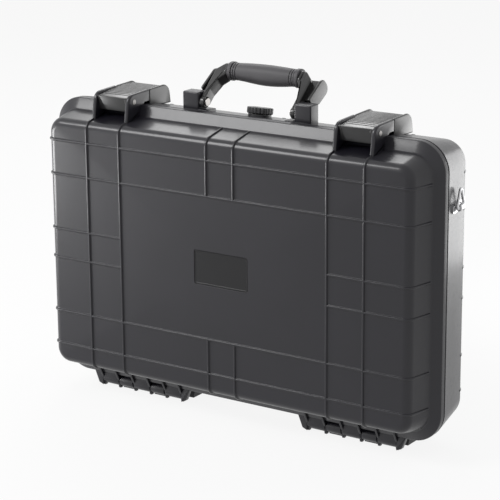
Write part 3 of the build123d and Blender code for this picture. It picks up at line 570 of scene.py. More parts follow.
def rounded_outline(corners: Corners, steps: int = 5) -> Array:
    """Closed outline whose corners are arcs.

    For a corner between the unit directions u and w to its neighbours, with half angle h, the
    arc's centre lies r / sin(h) along their bisector and the tangent points r / tan(h) along
    each side. Points between them share the turn evenly.

    Args:
        corners: Each corner's two coordinates and its radius. No corner is in line with both
            of its neighbours.
        steps: Chords in each arc.

    Returns:
        An array of (corners * (steps + 1), 2).
    """
    table = np.array(corners, float)
    point, radius = table[:, :2], table[:, 2:]
    before = np.roll(point, 1, axis=0) - point
    after = np.roll(point, -1, axis=0) - point
    before /= np.linalg.norm(before, axis=1, keepdims=True)
    after /= np.linalg.norm(after, axis=1, keepdims=True)
    half = np.arccos(np.clip((before * after).sum(axis=1, keepdims=True), -1, 1)) / 2
    bisector = before + after
    bisector /= np.linalg.norm(bisector, axis=1, keepdims=True)
    centre = point + bisector * radius / np.sin(half)
    first = point + before * radius / np.tan(half) - centre
    last = point + after * radius / np.tan(half) - centre
    turn = np.pi - 2 * half
    share = np.linspace(0, 1, steps + 1)[None, :]
    weight_first = (np.sin((1 - share) * turn) / np.sin(turn))[..., None]
    weight_last = (np.sin(share * turn) / np.sin(turn))[..., None]
    rounded = centre[:, None] + weight_first * first[:, None] + weight_last * last[:, None]
    return rounded.reshape(-1, 2)


def pulled_in(outline: Array, inset: Array) -> Array:
    """Outlines drawn inwards: each point moves along the mean of its two sides' inward normals,
    divided by the cosine of half the turn, so that each side moves by the inset.

    Args:
        outline: Closed outline, (n, 2).
        inset: How far in, one value for each wanted outline.

    Returns:
        An array of (insets, n, 2).
    """
    ahead = np.roll(outline, -1, axis=0) - outline
    ahead /= np.linalg.norm(ahead, axis=1, keepdims=True)
    behind = np.roll(ahead, 1, axis=0)
    following = np.roll(outline, -1, axis=0)
    area = (outline[:, 0] * following[:, 1] - following[:, 0] * outline[:, 1]).sum()
    inward = np.sign(area) * np.array([-1.0, 1.0]) * (ahead + behind)[:, ::-1]
    length = np.linalg.norm(inward, axis=1, keepdims=True)
    inward = inward / length * (2.0 / length)
    return outline[None] + inset[:, None, None] * inward[None]


def prism_rows(outline: Array, start: float, stop: float, edge: float) -> tuple[Array, Array, Array]:
    """Rows of an outline drawn out in one direction, with rounded end edges.

    At each end the outline is pulled in by edge * (1 - sin t) at edge * (1 - cos t) from
    the end, for t from 0 to a quarter turn.

    Args:
        outline: Closed outline, (n, 2).
        start: One end.
        stop: The other end.
        edge: Radius of the end edges.

    Returns:
        Places along the direction, (rows, 1), and the outline's two coordinates, (rows, n).
    """
    low, high = min(start, stop), max(start, stop)
    turn = np.radians(np.linspace(0, 90, EDGE_STEPS + 1))
    inset = edge * (1 - np.sin(turn))
    travel = edge * (1 - np.cos(turn))
    place = np.concatenate([low + travel, high - travel[::-1]])[:, None]
    rows = pulled_in(outline, np.concatenate([inset, inset[::-1]]))
    return place, rows[..., 0], rows[..., 1]


def rounded_rings(profile: Array, stops: Array, steps: int) -> tuple[Array, Array, Array, Array]:
    """Rings around rounded rectangles: quarter circles at the corners, straight between.

    Args:
        profile: Rows of half-width, half-height, corner radius and depth.
        stops: Places across at which the top and bottom sides have points.
        steps: Chords in each corner.

    Returns:
        Arrays of x, depth and height, (rows, points), and which points are stops on the top.
    """
    half_width, half_height, radius, depth = (profile[:, [column]] for column in range(4))
    quarter = np.radians(np.linspace(0, 90, steps + 1))[None]
    quarters = ((1, 1), (-1, 1), (-1, -1), (1, -1))
    xs, heights, on_top = [], [], []
    for number, (side, upper) in enumerate(quarters):
        angle = quarter + math.pi / 2 * number
        xs.append(side * (half_width - radius) + radius * np.cos(angle))
        heights.append(upper * (half_height - radius) + radius * np.sin(angle))
        on_top.append(np.zeros(steps + 1, bool))
        if number in (0, 2):
            xs.append(np.broadcast_to(-side * np.sort(-stops), (len(profile), len(stops))))
            heights.append(np.broadcast_to(upper * half_height, (len(profile), len(stops))))
            on_top.append(np.full(len(stops), number == 0))
    x = np.concatenate(xs, axis=1)
    height = np.concatenate(heights, axis=1)
    return x, np.broadcast_to(depth, x.shape), height, np.concatenate(on_top)


def signed_volume(points: Array, faces: list[list[int]]) -> float:
    """Volume inside faces, below zero when they point inwards: a sixth of the sum, over each
    face's fan of triangles, of the corners' triple product.

    Args:
        points: All corners.
        faces: Each face's corners.

    Returns:
        The volume.
    """
    total = 0.0
    for count in {len(face) for face in faces}:
        corner = points[np.array([face for face in faces if len(face) == count])]
        fan = np.cross(corner[:, 1:-1], corner[:, 2:])
        total += (corner[:, :1] * fan).sum() / 6
    return total


def add_object(name: str, data: bpy.types.ID) -> bpy.types.Object:
    """Adds an object to the scene.

    Args:
        name: Its name.
        data: Its mesh, lamp or camera.

    Returns:
        The object.
    """
    made = bpy.data.objects.new(name, data)
    bpy.context.scene.collection.objects.link(made)
    return made


@dataclass(frozen=True)
class RibSection:
    """Section of a moulded rib: flared at its root and rounded at its top, in millimetres."""

    width: float = 2.3
    rise: float = 1.5
    flare: float = 0.6
    crown: float = 0.9
    sink: float = 0.6
    steps: int = 4

    def points(self) -> Array:
        """Closed outline of the section: the left half, then its mirror image.

        Returns:
            Rows of side step and lift, from the left root over the top to the right.
        """
        foot = -self.width / 2 - self.flare
        brow = -self.width / 2 + self.crown
        flare = arc((foot, self.flare), self.flare, -90, 0, self.steps)
        crown = arc((brow, self.rise - self.crown), self.crown, 180, 90, self.steps)
        left = np.vstack([[(foot, -self.sink)], flare, crown])
        return np.vstack([left, left[::-1] * [-1, 1]])


class Shape:
    """Closed surfaces gathered into one mesh. They are given in millimetres."""

    merge_distance: float = 0.001
    sharp_angle: float = 32.0
    rod_steps: int = 32
    rod_edge: float = 0.4

    def __init__(self, name: str, ground: Ground) -> None:
        """Starts an empty mesh.

        Args:
            name: The finished piece's name.
            ground: Where the case stands.
        """
        self.name = name
        self.ground = ground
        self.mesh = bmesh.new()

    def loft(self, rings: Array) -> None:
        """Adds a surface through rings of points, with a face over each end ring.

        Four neighbours in the grid of rings and columns make one face. The surface is turned
        round where its volume is below zero, and points that coincide are merged.

        Args:
            rings: Array of (rings, points in a ring, 3).
        """
        index = np.arange(rings.shape[0] * rings.shape[1]).reshape(rings.shape[:2])
        aside = np.roll(index, -1, axis=1)
        grid = np.stack([index[:-1], aside[:-1], aside[1:], index[1:]], axis=-1)
        faces = grid.reshape(-1, 4).tolist() + [index[0, ::-1].tolist(), index[-1].tolist()]
        points = rings.reshape(-1, 3)
        if signed_volume(points, faces) < 0:
            faces = [face[::-1] for face in faces]
        part = bpy.data.meshes.new("part")
        part.from_pydata((points * MILLIMETRE).tolist(), [], faces)
        old = len(self.mesh.verts)
        self.mesh.from_mesh(part)
        bpy.data.meshes.remove(part)
        self.mesh.verts.ensure_lookup_table()
        self.merge(self.mesh.verts[old:])

    def merge(self, points: list[bmesh.types.BMVert]) -> None:
        """Merges points that coincide."""
        bmesh.ops.remove_doubles(self.mesh, verts=points, dist=self.merge_distance * MILLIMETRE)

    def prism(
        self, outline: Array, start: float, stop: float, along: Along, edge: float = 0.5
    ) -> None:
        """Adds an outline drawn out in one direction, with rounded end edges.

        Args:
            outline: Closed outline, (n, 2), in the two other directions, in the order x,
                depth, height.
            start: One end.
            stop: The other end.
            along: The direction.
            edge: Radius of the end edges.
        """
        place, first, second = prism_rows(outline, start, stop, edge)
        ordered = {
            Along.X: (place, first, second),
            Along.DEPTH: (first, place, second),
            Along.HEIGHT: (first, second, place),
        }[along]
        self.loft(self.ground.at(*ordered))

    def rod(self, centre: Pair, radius: float, start: float, stop: float) -> None:
        """Adds a round bar along X with softened ends.

        Args:
            centre: Depth and height of its middle line.
            radius: Its radius.
            start: One end.
            stop: The other end.
        """
        edge = min(self.rod_edge, radius / 3)
        self.prism(circle(centre, radius, self.rod_steps), start, stop, Along.X, edge)

    def rib(self, path: Array, normal: Array, across: Triple, section: RibSection, rise: Array) -> None:
        """Adds a moulded rib: its section carried along a path.

        A point is the path, plus the section's side step times the across direction, plus its
        lift times the path's normal, where lifts above the surface are scaled by the rise.

        Args:
            path: Points on the surface, (n, 3).
            normal: Outward directions there, (n, 3).
            across: Direction across the rib.
            section: The rib's section.
            rise: Height of the rib at each point, as a share of the section's.
        """
        side, lift = section.points().T
        lifted = np.where(lift > 0, lift * rise[:, None], lift)
        sideways = side[None, :, None] * np.array(across)
        self.loft(path[:, None] + sideways + lifted[..., None] * normal[:, None])

    def piece(self, wardrobe: Wardrobe, slot: Slot, body: str, *nodes: str) -> bpy.types.Object:
        """Finishes the mesh as a piece that rides on a body.

        Args:
            wardrobe: The finishes.
            slot: The piece's material slot.
            body: The body that carries it.
            nodes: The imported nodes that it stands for.

        Returns:
            The piece.
        """
        mesh = bpy.data.meshes.new(self.name)
        self.mesh.to_mesh(mesh)
        self.mesh.free()
        mesh.polygons.foreach_set("use_smooth", np.ones(len(mesh.polygons), bool))
        mesh.set_sharp_from_angle(angle=math.radians(self.sharp_angle))
        mesh.materials.append(wardrobe.material(slot))
        made = add_object(self.name, mesh)
        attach(made, body)
        if nodes:
            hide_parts(*nodes)
        stands_for = ", ".join(nodes) or "no node"
        log.info("%s: %d faces on %s, for %s", self.name, len(mesh.polygons), body, stands_for)
        return made


# The case


@dataclass(frozen=True)
class CaseForm:
    """Sizes that the lid and the base share, in millimetres and degrees."""

    rim_half_width: float = 224.0
    rim_half_height: float = 145.0
    rim_radius: float = 30.0
    lid_rim_depth: float = 41.4
    base_rim_depth: float = 42.6
    back_depth: float = 96.0
    draft: float = 10.5
    edge_radius: float = 9.0
    edge_steps: int = 9
    floor_drop: float = 160.0
    latch_x: float = 140.0
    ear_offset: float = 20.0
    pivot_depth: float = 42.0
    hinge_height: float = -152.0
    hinge_first_x: float = 76.0
    hinge_pitch: float = 20.0
    hinge_places: int = 6
    knuckle_radius: float = 6.28
    web_toe: float = 4.0
    rib_outer: float = 107.3
    rib_inner: float = 72.0
    rib_mark_x: float = 15.6
    rib_mark_height: float = 15.1
    corner_steps: int = 14

    @property
    def slope(self) -> float:
        """Sideways run of the base's draft for one millimetre of depth."""
        return tangent(self.draft)

    @property
    def hinge_line(self) -> Pair:
        """Depth and height of the lid's hinge."""
        return self.pivot_depth, self.hinge_height

    def hinge_xs(self) -> Array:
        """X places of one hinge's webs, from the inside out."""
        return self.hinge_first_x + self.hinge_pitch * np.arange(self.hinge_places)

    def base_top(self, depth: float) -> float:
        """Half-height of the base's outside at a depth."""
        return self.rim_half_height - self.slope * (depth - self.base_rim_depth)


@dataclass(frozen=True)
class Wrap:
    """Path from a flat face over its rounded edge and along the drafted side.

    The edge is an arc that is tangent to the face and to the side. Along it the outward
    normal turns from the face's direction to the side's.
    """

    face_depth: float
    facing: int
    edge_radius: float
    draft: float
    end_depth: float
    side_inset: float
    end_inset: float
    fades: bool = False
    steps: int = 8

    def path(self, half: float, start: float, signs: Signs) -> tuple[Array, Array, Array, Array]:
        """The path, or with two signs the path from one side to the other.

        Args:
            half: Half-size of the side at the face's depth, before rounding.
            start: Where on the face the path starts, from the middle outwards.
            signs: The sides that it reaches.

        Returns:
            Sideways place, depth, sideways part of the normal and its part along the depth.
        """
        slope = tangent(self.draft)
        radius = self.edge_radius
        turn = np.radians(np.linspace(90, self.draft, self.steps + 1))
        centre = half + slope * radius - radius / cosine(self.draft)
        run = abs(self.end_depth - self.face_depth)
        last = turn[-1:]
        sideways = np.concatenate([[start], centre + radius * np.cos(turn), [half + slope * run]])
        inward = np.concatenate([[0.0], radius * (1 - np.sin(turn)), [run]])
        normal_side = np.concatenate([[0.0], np.cos(turn), np.cos(last)])
        normal_depth = self.facing * np.concatenate([[1.0], np.sin(turn), np.sin(last)])
        depth = self.face_depth - self.facing * inward
        if len(signs) == 1:
            return signs[0] * sideways, depth, signs[0] * normal_side, normal_depth
        one_side = (sideways, depth, normal_side, normal_depth)
        odd = (-1, 1, -1, 1)
        return tuple(np.concatenate([sign * part[::-1], part]) for sign, part in zip(odd, one_side))

    def share(self, normal_depth: Array) -> Array:
        """Share of the ribs' full rise: fading towards the side, or even."""
        return np.abs(normal_depth) if self.fades else np.ones_like(normal_depth)


@dataclass
class RibPattern:
    """The ribs on one large face: upright pairs, level lines and short marks between them."""

    form: CaseForm
    wrap: Wrap
    section: RibSection = RibSection()
    level_share: float = 0.97

    def add_to(self, shape: Shape) -> None:
        """Adds every rib of the face.

        Args:
            shape: The shape that carries them.
        """
        form = self.form
        for side in BOTH:
            for offset in (-form.ear_offset, form.ear_offset):
                self._upright(shape, side * form.latch_x + offset, 0.0, BOTH)
            for height in (form.rib_outer, form.rib_inner):
                self._level(shape, side * height, 0.0, BOTH)
            for sign in BOTH:
                self._upright(shape, side * form.rib_mark_x, form.rib_inner, (sign,))
                start = form.latch_x - form.ear_offset
                self._level(shape, side * form.rib_mark_height, start, (sign,))

    def _upright(self, shape: Shape, x: float, start: float, signs: Signs) -> None:
        """Adds an upright rib.

        Args:
            shape: The shape that carries it.
            x: Its place across the case.
            start: The height that it starts at, from the middle outwards.
            signs: The ends of the case that it reaches.
        """
        half = self.form.rim_half_height - self.wrap.end_inset
        height, depth, normal_up, normal_depth = self.wrap.path(half, start, signs)
        path = shape.ground.at(np.full_like(height, x), depth, height)
        normal = np.stack([np.zeros_like(height), normal_depth, normal_up], axis=-1)
        shape.rib(path, normal, (1.0, 0.0, 0.0), self.section, self.wrap.share(normal_depth))

    def _level(self, shape: Shape, height: float, start: float, signs: Signs) -> None:
        """Adds a level rib.

        Args:
            shape: The shape that carries it.
            height: Its height.
            start: The place across that it starts at, from the middle outwards.
            signs: The sides of the case that it reaches.
        """
        half = self.form.rim_half_width - self.wrap.side_inset
        x, depth, normal_x, normal_depth = self.wrap.path(half, start, signs)
        path = shape.ground.at(x, depth, np.full_like(x, height))
        normal = np.stack([normal_x, normal_depth, np.zeros_like(x)], axis=-1)
        rise = self.wrap.share(normal_depth) * self.level_share
        shape.rib(path, normal, (0.0, 0.0, 1.0), self.section, rise)


@dataclass
class LidShell:
    """The lid: ribbed tray, flange, latch ears and hinge webs in one moulding."""

    form: CaseForm
    side_inset: float = 15.7
    end_inset: float = 17.5
    corner_radius: float = 14.0
    draft: float = 12.0
    wall: float = 3.3
    flange_depth: float = 30.5
    bevel_depth: float = 36.0
    bevel_round: float = 1.6
    bevel_turn: float = 55.0
    bevel_steps: int = 5
    cove: float = 2.2
    cove_stop: float = 115.0
    cove_steps: int = 5
    soft: float = 0.6
    cavity_half_width: float = 215.0
    plate_half: Pair = (31.15, 17.15)
    plate_corner: float = 2.15
    plate_recess: float = 1.4
    groove_outer: float = 3.5
    groove_inner: float = 1.1
    groove_depth: float = 2.6
    floor_radius: float = 2.0
    rib_end_depth: float = 27.5
    ear_thickness: float = 4.2
    ear_top: float = 158.3
    ear_front_depth: float = 11.0
    ear_rear_depth: float = 50.0
    ear_gap: float = 0.7
    ear_root: float = 2.0
    ear_brow: Triple = (4.6, 1.2, 10.0)
    ear_heel_radius: float = 2.5
    ear_edge: float = 1.5
    ear_steps: int = 7
    web_thickness: float = 2.6
    web_start_depth: float = 26.0
    web_root: float = 1.0
    web_belly: float = 1.5
    web_bend: float = 4.0
    web_toe_radius: float = 1.2
    strut_front: float = 0.1
    strut_edge: float = 0.2
    wedge_reach: float = 11.0
    wedge_lift: float = 0.4
    wedge_radius: float = 1.5
    clearance: float = 0.02

    @property
    def slope(self) -> float:
        """Sideways run of the tray's draft for one millimetre of depth."""
        return tangent(self.draft)

    def _tray(self, sideways: Array, depth: Array) -> Array:
        """Rows of a profile from offsets off the tray's size at the front face.

        Args:
            sideways: How much further out each row is.
            depth: Its depth.

        Returns:
            Rows of half-width, half-height, corner radius and depth.
        """
        form = self.form
        return np.column_stack([
            form.rim_half_width - self.side_inset + sideways,
            form.rim_half_height - self.end_inset + sideways,
            self.corner_radius + sideways,
            depth,
        ])

    def _recess(self) -> Array:
        """The plate's recess, from its floor to its softened brim.

        Returns:
            Rows of half-width, half-height, corner radius and depth.
        """
        width, height = self.plate_half
        corner = self.plate_corner
        soft = self.soft / 2
        return np.array([
            (width, height, corner, self.plate_recess),
            (width, height, corner, soft),
            (width + soft, height + soft, corner + soft, 0.0),
        ])

    def _outside(self) -> Array:
        """The rounded edge, the drafted side and the cove at the flange's root.

        Each arc's centre lies where the arc touches the drafted side without a corner.

        Returns:
            Rows of half-width, half-height, corner radius and depth.
        """
        form = self.form
        over = cosine(self.draft)
        centre = (self.slope * form.edge_radius - form.edge_radius / over, form.edge_radius)
        edge = arc(centre, form.edge_radius, -90, -self.draft, form.edge_steps)
        start = self.flange_depth - self.cove
        centre = (self.slope * start + self.cove / over, start)
        cove = arc(centre, self.cove, 180 - self.draft, self.cove_stop, self.cove_steps)
        return self._tray(*np.vstack([edge, cove]).T)

    def _rim(self) -> Array:
        """The flange's rounded bevel and its rim, as offsets off the rim's size.

        Returns:
            Rows of half-width, half-height, corner radius and depth.
        """
        form = self.form
        turn = np.radians(np.linspace(-self.bevel_turn, 0, self.bevel_steps + 1))
        out = self.bevel_round * (np.cos(turn) - 1)
        back = self.bevel_depth + self.bevel_round * np.sin(turn)
        sideways = np.append(out, [0.0, -self.soft])
        depth = np.append(back, [form.lid_rim_depth - self.soft, form.lid_rim_depth])
        sizes = np.array([form.rim_half_width, form.rim_half_height, form.rim_radius])
        return np.column_stack([sizes + sideways[:, None], depth])

    def _inside(self) -> Array:
        """The rim's seal groove and the cavity to its front wall.

        Returns:
            Rows of half-width, half-height, corner radius and depth.
        """
        form = self.form
        rim, soft = form.lid_rim_depth, self.soft / 2
        cavity = self.cavity_half_width - (form.rim_half_width - self.side_inset)
        outer, inner = cavity + self.groove_outer, cavity + self.groove_inner
        floor = rim - self.groove_depth
        front = -self.wall / cosine(self.draft) + self.slope * self.wall
        rows = np.array([
            (outer, rim),
            (outer, floor),
            (inner, floor),
            (inner, rim),
            (cavity + soft, rim),
            (cavity, rim - soft),
            (front, self.wall + self.floor_radius),
            (front - self.floor_radius, self.wall),
        ])
        return self._tray(*rows.T)

    def _ear(self) -> Array:
        """Outline of a latch ear, tall and rounded over its front.

        Returns:
            The outline in depth and height.
        """
        form = self.form
        tray = form.rim_half_height - self.end_inset - self.ear_root
        front, rear, end = self.ear_front_depth, self.ear_rear_depth, self.rib_end_depth
        over = form.rim_half_height + self.ear_gap
        setback, fall, brow = self.ear_brow
        return rounded_outline((
            (front, tray + self.slope * front, CRISP),
            (front + setback, self.ear_top - fall, brow),
            (rear, self.ear_top, self.ear_heel_radius),
            (rear, over, EASED),
            (form.lid_rim_depth, over, CRISP),
            (form.lid_rim_depth, form.rim_half_height - self.ear_root, CRISP),
            (end, tray + self.slope * end, CRISP),
        ), self.ear_steps)

    def _web(self) -> Array:
        """Outline of a hinge web, from the tray down to the ground.

        Returns:
            The outline in depth and height.
        """
        form = self.form
        start = self.web_start_depth
        tray = form.rim_half_height - self.end_inset + self.slope * start
        toe = form.pivot_depth - form.web_toe
        return rounded_outline((
            (start, -tray + self.web_root, CRISP),
            (toe - self.web_belly, form.hinge_height, self.web_bend),
            (toe, -form.floor_drop, self.web_toe_radius),
            (form.pivot_depth, -form.floor_drop, CRISP),
            (*form.hinge_line, CRISP),
            (form.lid_rim_depth, -form.rim_half_height + self.ear_root, CRISP),
        ))

    def _strut(self) -> Array:
        """Outline of the web that ties a knuckle to the rim.

        Returns:
            The outline in depth and height.
        """
        form = self.form
        root = -form.rim_half_height + self.web_root
        front = form.pivot_depth - form.knuckle_radius + self.strut_front - self.clearance
        rear = form.lid_rim_depth - self.clearance
        return rounded_outline((
            (front, form.hinge_height, CRISP),
            (self.bevel_depth, root, CRISP),
            (rear, root, CRISP),
            (rear, form.hinge_height, CRISP),
        ))

    def _wedge(self, edge: float, direction: int) -> Array:
        """Outline of the sloping end of a row of webs.

        Args:
            edge: The last web's place across.
            direction: Which way the wedge points.

        Returns:
            The outline in x and height.
        """
        form = self.form
        tip = edge + direction * self.wedge_reach
        root = -form.rim_half_height + self.web_root
        return rounded_outline((
            (edge, root, CRISP),
            (tip, root, CRISP),
            ((edge + tip) / 2, -form.floor_drop + self.web_thickness, self.wedge_radius),
            (edge, -form.floor_drop + self.wedge_lift, CRISP),
        ))

    def _hinge(self, shape: Shape, side: int) -> None:
        """Adds one hinge's webs, knuckles and sloping ends.

        Args:
            shape: The lid's shape.
            side: Below zero for the left one.
        """
        form = self.form
        places = side * form.hinge_xs()
        half = self.web_thickness / 2
        for place in places:
            shape.prism(self._web(), place - half, place + half, Along.X)
        for start, stop in zip(places[:-1:2], places[1::2]):
            shape.rod(form.hinge_line, form.knuckle_radius, start, stop)
            shape.prism(self._strut(), start, stop, Along.X, self.strut_edge)
        for edge, direction in ((places[-1], side), (places[0], -side)):
            wedge = self._wedge(edge, direction)
            shape.prism(wedge, self.bevel_depth, form.lid_rim_depth, Along.DEPTH)

    def build(self, wardrobe: Wardrobe, ground: Ground) -> None:
        """Builds the lid's moulding and dresses it.

        Its rings run from the plate's recess over the front face, the edge, the side, the
        flange and the rim into the seal's groove and the cavity.

        Args:
            wardrobe: The finishes.
            ground: Where the case stands.
        """
        form = self.form
        shape = Shape("lid_moulding", ground)
        profile = np.vstack([self._recess(), self._outside(), self._rim(), self._inside()])
        x, depth, height, _ = rounded_rings(profile, np.array([]), form.corner_steps)
        shape.loft(ground.at(x, depth, height))
        wrap = Wrap(
            face_depth=0.0,
            facing=-1,
            edge_radius=form.edge_radius,
            draft=self.draft,
            end_depth=self.rib_end_depth,
            side_inset=self.side_inset,
            end_inset=self.end_inset,
        )
        RibPattern(form, wrap).add_to(shape)
        half = self.ear_thickness / 2
        for side in BOTH:
            for offset in (-form.ear_offset, form.ear_offset):
                middle = side * form.latch_x + offset
                shape.prism(self._ear(), middle - half, middle + half, Along.X, self.ear_edge)
            self._hinge(shape, side)
        shape.piece(wardrobe, Slot.SHELL, "lid", "lid_shell")


@dataclass
class BaseShell:
    """The base: drafted tub with handle posts, latch strikes, ribbed back and hinge knuckles."""

    form: CaseForm
    side_wall: float = 6.5
    top_wall: float = 8.5
    back_wall: float = 3.5
    cavity_draft: float = 7.9
    floor_radius: float = 3.0
    soft: float = 0.5
    pocket_half: float = 21.5
    pocket_height: float = 140.5
    rib_start_depth: float = 88.0
    post_inner_x: float = 55.5
    post_width: float = 18.5
    post_depths: Pair = (45.0, 60.0)
    post_top: float = 162.0
    post_radius: float = 1.5
    step_width: float = 11.0
    step_top: float = 145.2
    step_radius: float = 0.6
    strike_half: float = 12.0
    strike_depths: Pair = (62.0, 66.0)
    strike_top: float = 143.5
    strike_radius: float = 0.8
    root: float = 1.0
    knuckle_gap: float = 1.8
    web_heel: float = 10.0
    edge: float = 0.4

    def _cavity(self) -> Array:
        """The cavity, from its back wall over its drafted sides to the rim.

        Returns:
            Rows of half-width, half-height, corner radius and depth.
        """
        form = self.form
        floor = form.back_depth - self.back_wall
        inset = tangent(self.cavity_draft) * (floor - form.base_rim_depth)
        sideways, depth = np.array([
            (-inset - self.floor_radius, floor),
            (-inset, floor - self.floor_radius),
            (0.0, form.base_rim_depth + self.soft / 2),
            (self.soft / 2, form.base_rim_depth),
        ]).T
        return np.column_stack([
            form.rim_half_width - self.side_wall + sideways,
            form.rim_half_height - self.top_wall + sideways,
            form.rim_radius - self.top_wall + sideways,
            depth,
        ])

    def _outside(self) -> Array:
        """The rim, the drafted outside and the rounded edge to the back.

        Returns:
            Rows of half-width, half-height, corner radius and depth.
        """
        form = self.form
        slope, rim = form.slope, form.base_rim_depth
        start = form.back_depth - form.edge_radius
        over = cosine(form.draft)
        centre = (-slope * (start - rim) - form.edge_radius / over, start)
        edge = arc(centre, form.edge_radius, form.draft, 90, form.edge_steps)
        pocket_run = (form.rim_half_height - self.pocket_height) / slope
        sideways, depth = np.vstack([
            [(-self.soft, rim), (-slope * self.soft, rim + self.soft)],
            [(-slope * pocket_run, rim + pocket_run)],
            edge,
        ]).T
        return np.column_stack([
            form.rim_half_width + sideways,
            form.rim_half_height + sideways,
            form.rim_radius + sideways,
            depth,
        ])

    def _tub(self, shape: Shape) -> None:
        """Adds the tub, its top pressed down to the pockets' floors under the latches.

        The stops at a pocket's two sides are doubled, and only their inner copies go down, so
        the faces between the copies are the pocket's side walls.

        Args:
            shape: The base's shape.
        """
        form = self.form
        near, far = form.latch_x - self.pocket_half, form.latch_x + self.pocket_half
        stops = np.array([-far, -far, -near, -near, near, near, far, far])
        inner = np.array([False, True, True, False, False, True, True, False])
        profile = np.vstack([self._cavity(), self._outside()])
        x, depth, height, on_top = rounded_rings(profile, stops, form.corner_steps)
        pressed = on_top.copy()
        pressed[on_top] = inner
        height = np.where(pressed[None], np.minimum(height, self.pocket_height), height)
        shape.loft(shape.ground.at(x, depth, height))

    def _posts(self, shape: Shape, side: int) -> None:
        """Adds the block at one end of the handle and the low step inside it.

        Args:
            shape: The base's shape.
            side: Below zero for the left ones.
        """
        front, rear = self.post_depths
        inner = side * self.post_inner_x
        outer = inner + side * self.post_width
        low = inner - side * self.step_width
        foot = self.form.rim_half_height - self.top_wall
        radius, small = self.post_radius, self.step_radius
        block = rounded_outline((
            (inner, front, radius),
            (outer, front, radius),
            (outer, rear, radius),
            (inner, rear, radius),
        ))
        step = rounded_outline((
            (low, front, small),
            (inner + side, front, CRISP),
            (inner + side, rear, CRISP),
            (low, rear, small),
        ))
        shape.prism(block, foot, self.post_top, Along.HEIGHT, radius)
        shape.prism(step, foot, self.step_top, Along.HEIGHT, self.edge)

    def _strike(self, shape: Shape, side: int) -> None:
        """Adds the raised bar that a latch's claw pulls against.

        Args:
            shape: The base's shape.
            side: Below zero for the left one.
        """
        front, rear = self.strike_depths
        low, high, radius = self.pocket_height - self.root, self.strike_top, self.strike_radius
        outline = rounded_outline((
            (front, low, KEEN),
            (front, high, radius),
            (rear, high, radius),
            (rear, low, KEEN),
        ))
        middle = side * self.form.latch_x
        start, stop = middle - self.strike_half, middle + self.strike_half
        shape.prism(outline, start, stop, Along.X, self.edge)

    def _knuckles(self, shape: Shape, side: int) -> None:
        """Adds the hinge knuckles that stand between the lid's webs.

        Args:
            shape: The base's shape.
            side: Below zero for the left hinge.
        """
        form = self.form
        rim, pivot = form.base_rim_depth, form.pivot_depth
        heel = rim + self.web_heel
        outline = rounded_outline((
            (pivot, -form.floor_drop, CRISP),
            (pivot + form.web_toe, -form.floor_drop, ROUND),
            (heel, -form.base_top(heel) + self.root, EASED),
            (rim, -form.rim_half_height + self.root, KEEN),
            (rim, form.hinge_height, KEEN),
            (pivot, form.hinge_height, KEEN),
        ))
        places = side * form.hinge_xs()
        for start, stop in zip(places[1::2], places[2::2]):
            first, last = start + side * self.knuckle_gap, stop - side * self.knuckle_gap
            shape.rod(form.hinge_line, form.knuckle_radius, first, last)
            shape.prism(outline, first, last, Along.X, self.edge)

    def build(self, wardrobe: Wardrobe, ground: Ground) -> None:
        """Builds the base's moulding and dresses it.

        Args:
            wardrobe: The finishes.
            ground: Where the case stands.
        """
        form = self.form
        shape = Shape("base_moulding", ground)
        self._tub(shape)
        inset = form.slope * (form.back_depth - form.base_rim_depth)
        wrap = Wrap(
            face_depth=form.back_depth,
            facing=1,
            edge_radius=form.edge_radius,
            draft=form.draft,
            end_depth=self.rib_start_depth,
            side_inset=inset,
            end_inset=inset,
            fades=True,
        )
        RibPattern(form, wrap).add_to(shape)
        for side in BOTH:
            self._posts(shape, side)
            self._strike(shape, side)
            self._knuckles(shape, side)
        shape.piece(wardrobe, Slot.SHELL, "base", "base_shell")


@dataclass
class NamePlate:
    """The bare plate in the lid's recess, with a soft raised border."""

    half: Pair = (31.0, 17.0)
    corner: float = 2.0
    corner_share: float = 0.8
    back_depth: float = 1.4
    front_depth: float = 0.4
    soft: float = 0.25
    border: float = 1.2
    border_slope: float = 0.3
    border_fall: float = 0.25
    corner_steps: int = 8

    def build(self, wardrobe: Wardrobe, ground: Ground) -> None:
        """Builds the plate: rings pulled in step by step from its back edge to its face.

        Args:
            wardrobe: The finishes.
            ground: Where the case stands.
        """
        front = self.front_depth
        inset, depth = np.array([
            (0.0, self.back_depth),
            (0.0, front + self.soft),
            (self.soft, front),
            (self.border, front),
            (self.border + self.border_slope, front + self.border_fall),
        ]).T
        width, height = self.half
        corner = self.corner - inset * self.corner_share
        profile = np.column_stack([width - inset, height - inset, corner, depth])
        shape = Shape("lid_plate", ground)
        x, depth, height, _ = rounded_rings(profile, np.array([]), self.corner_steps)
        shape.loft(ground.at(x, depth, height))
        shape.piece(wardrobe, Slot.PLATE, "lid", "name_plate")


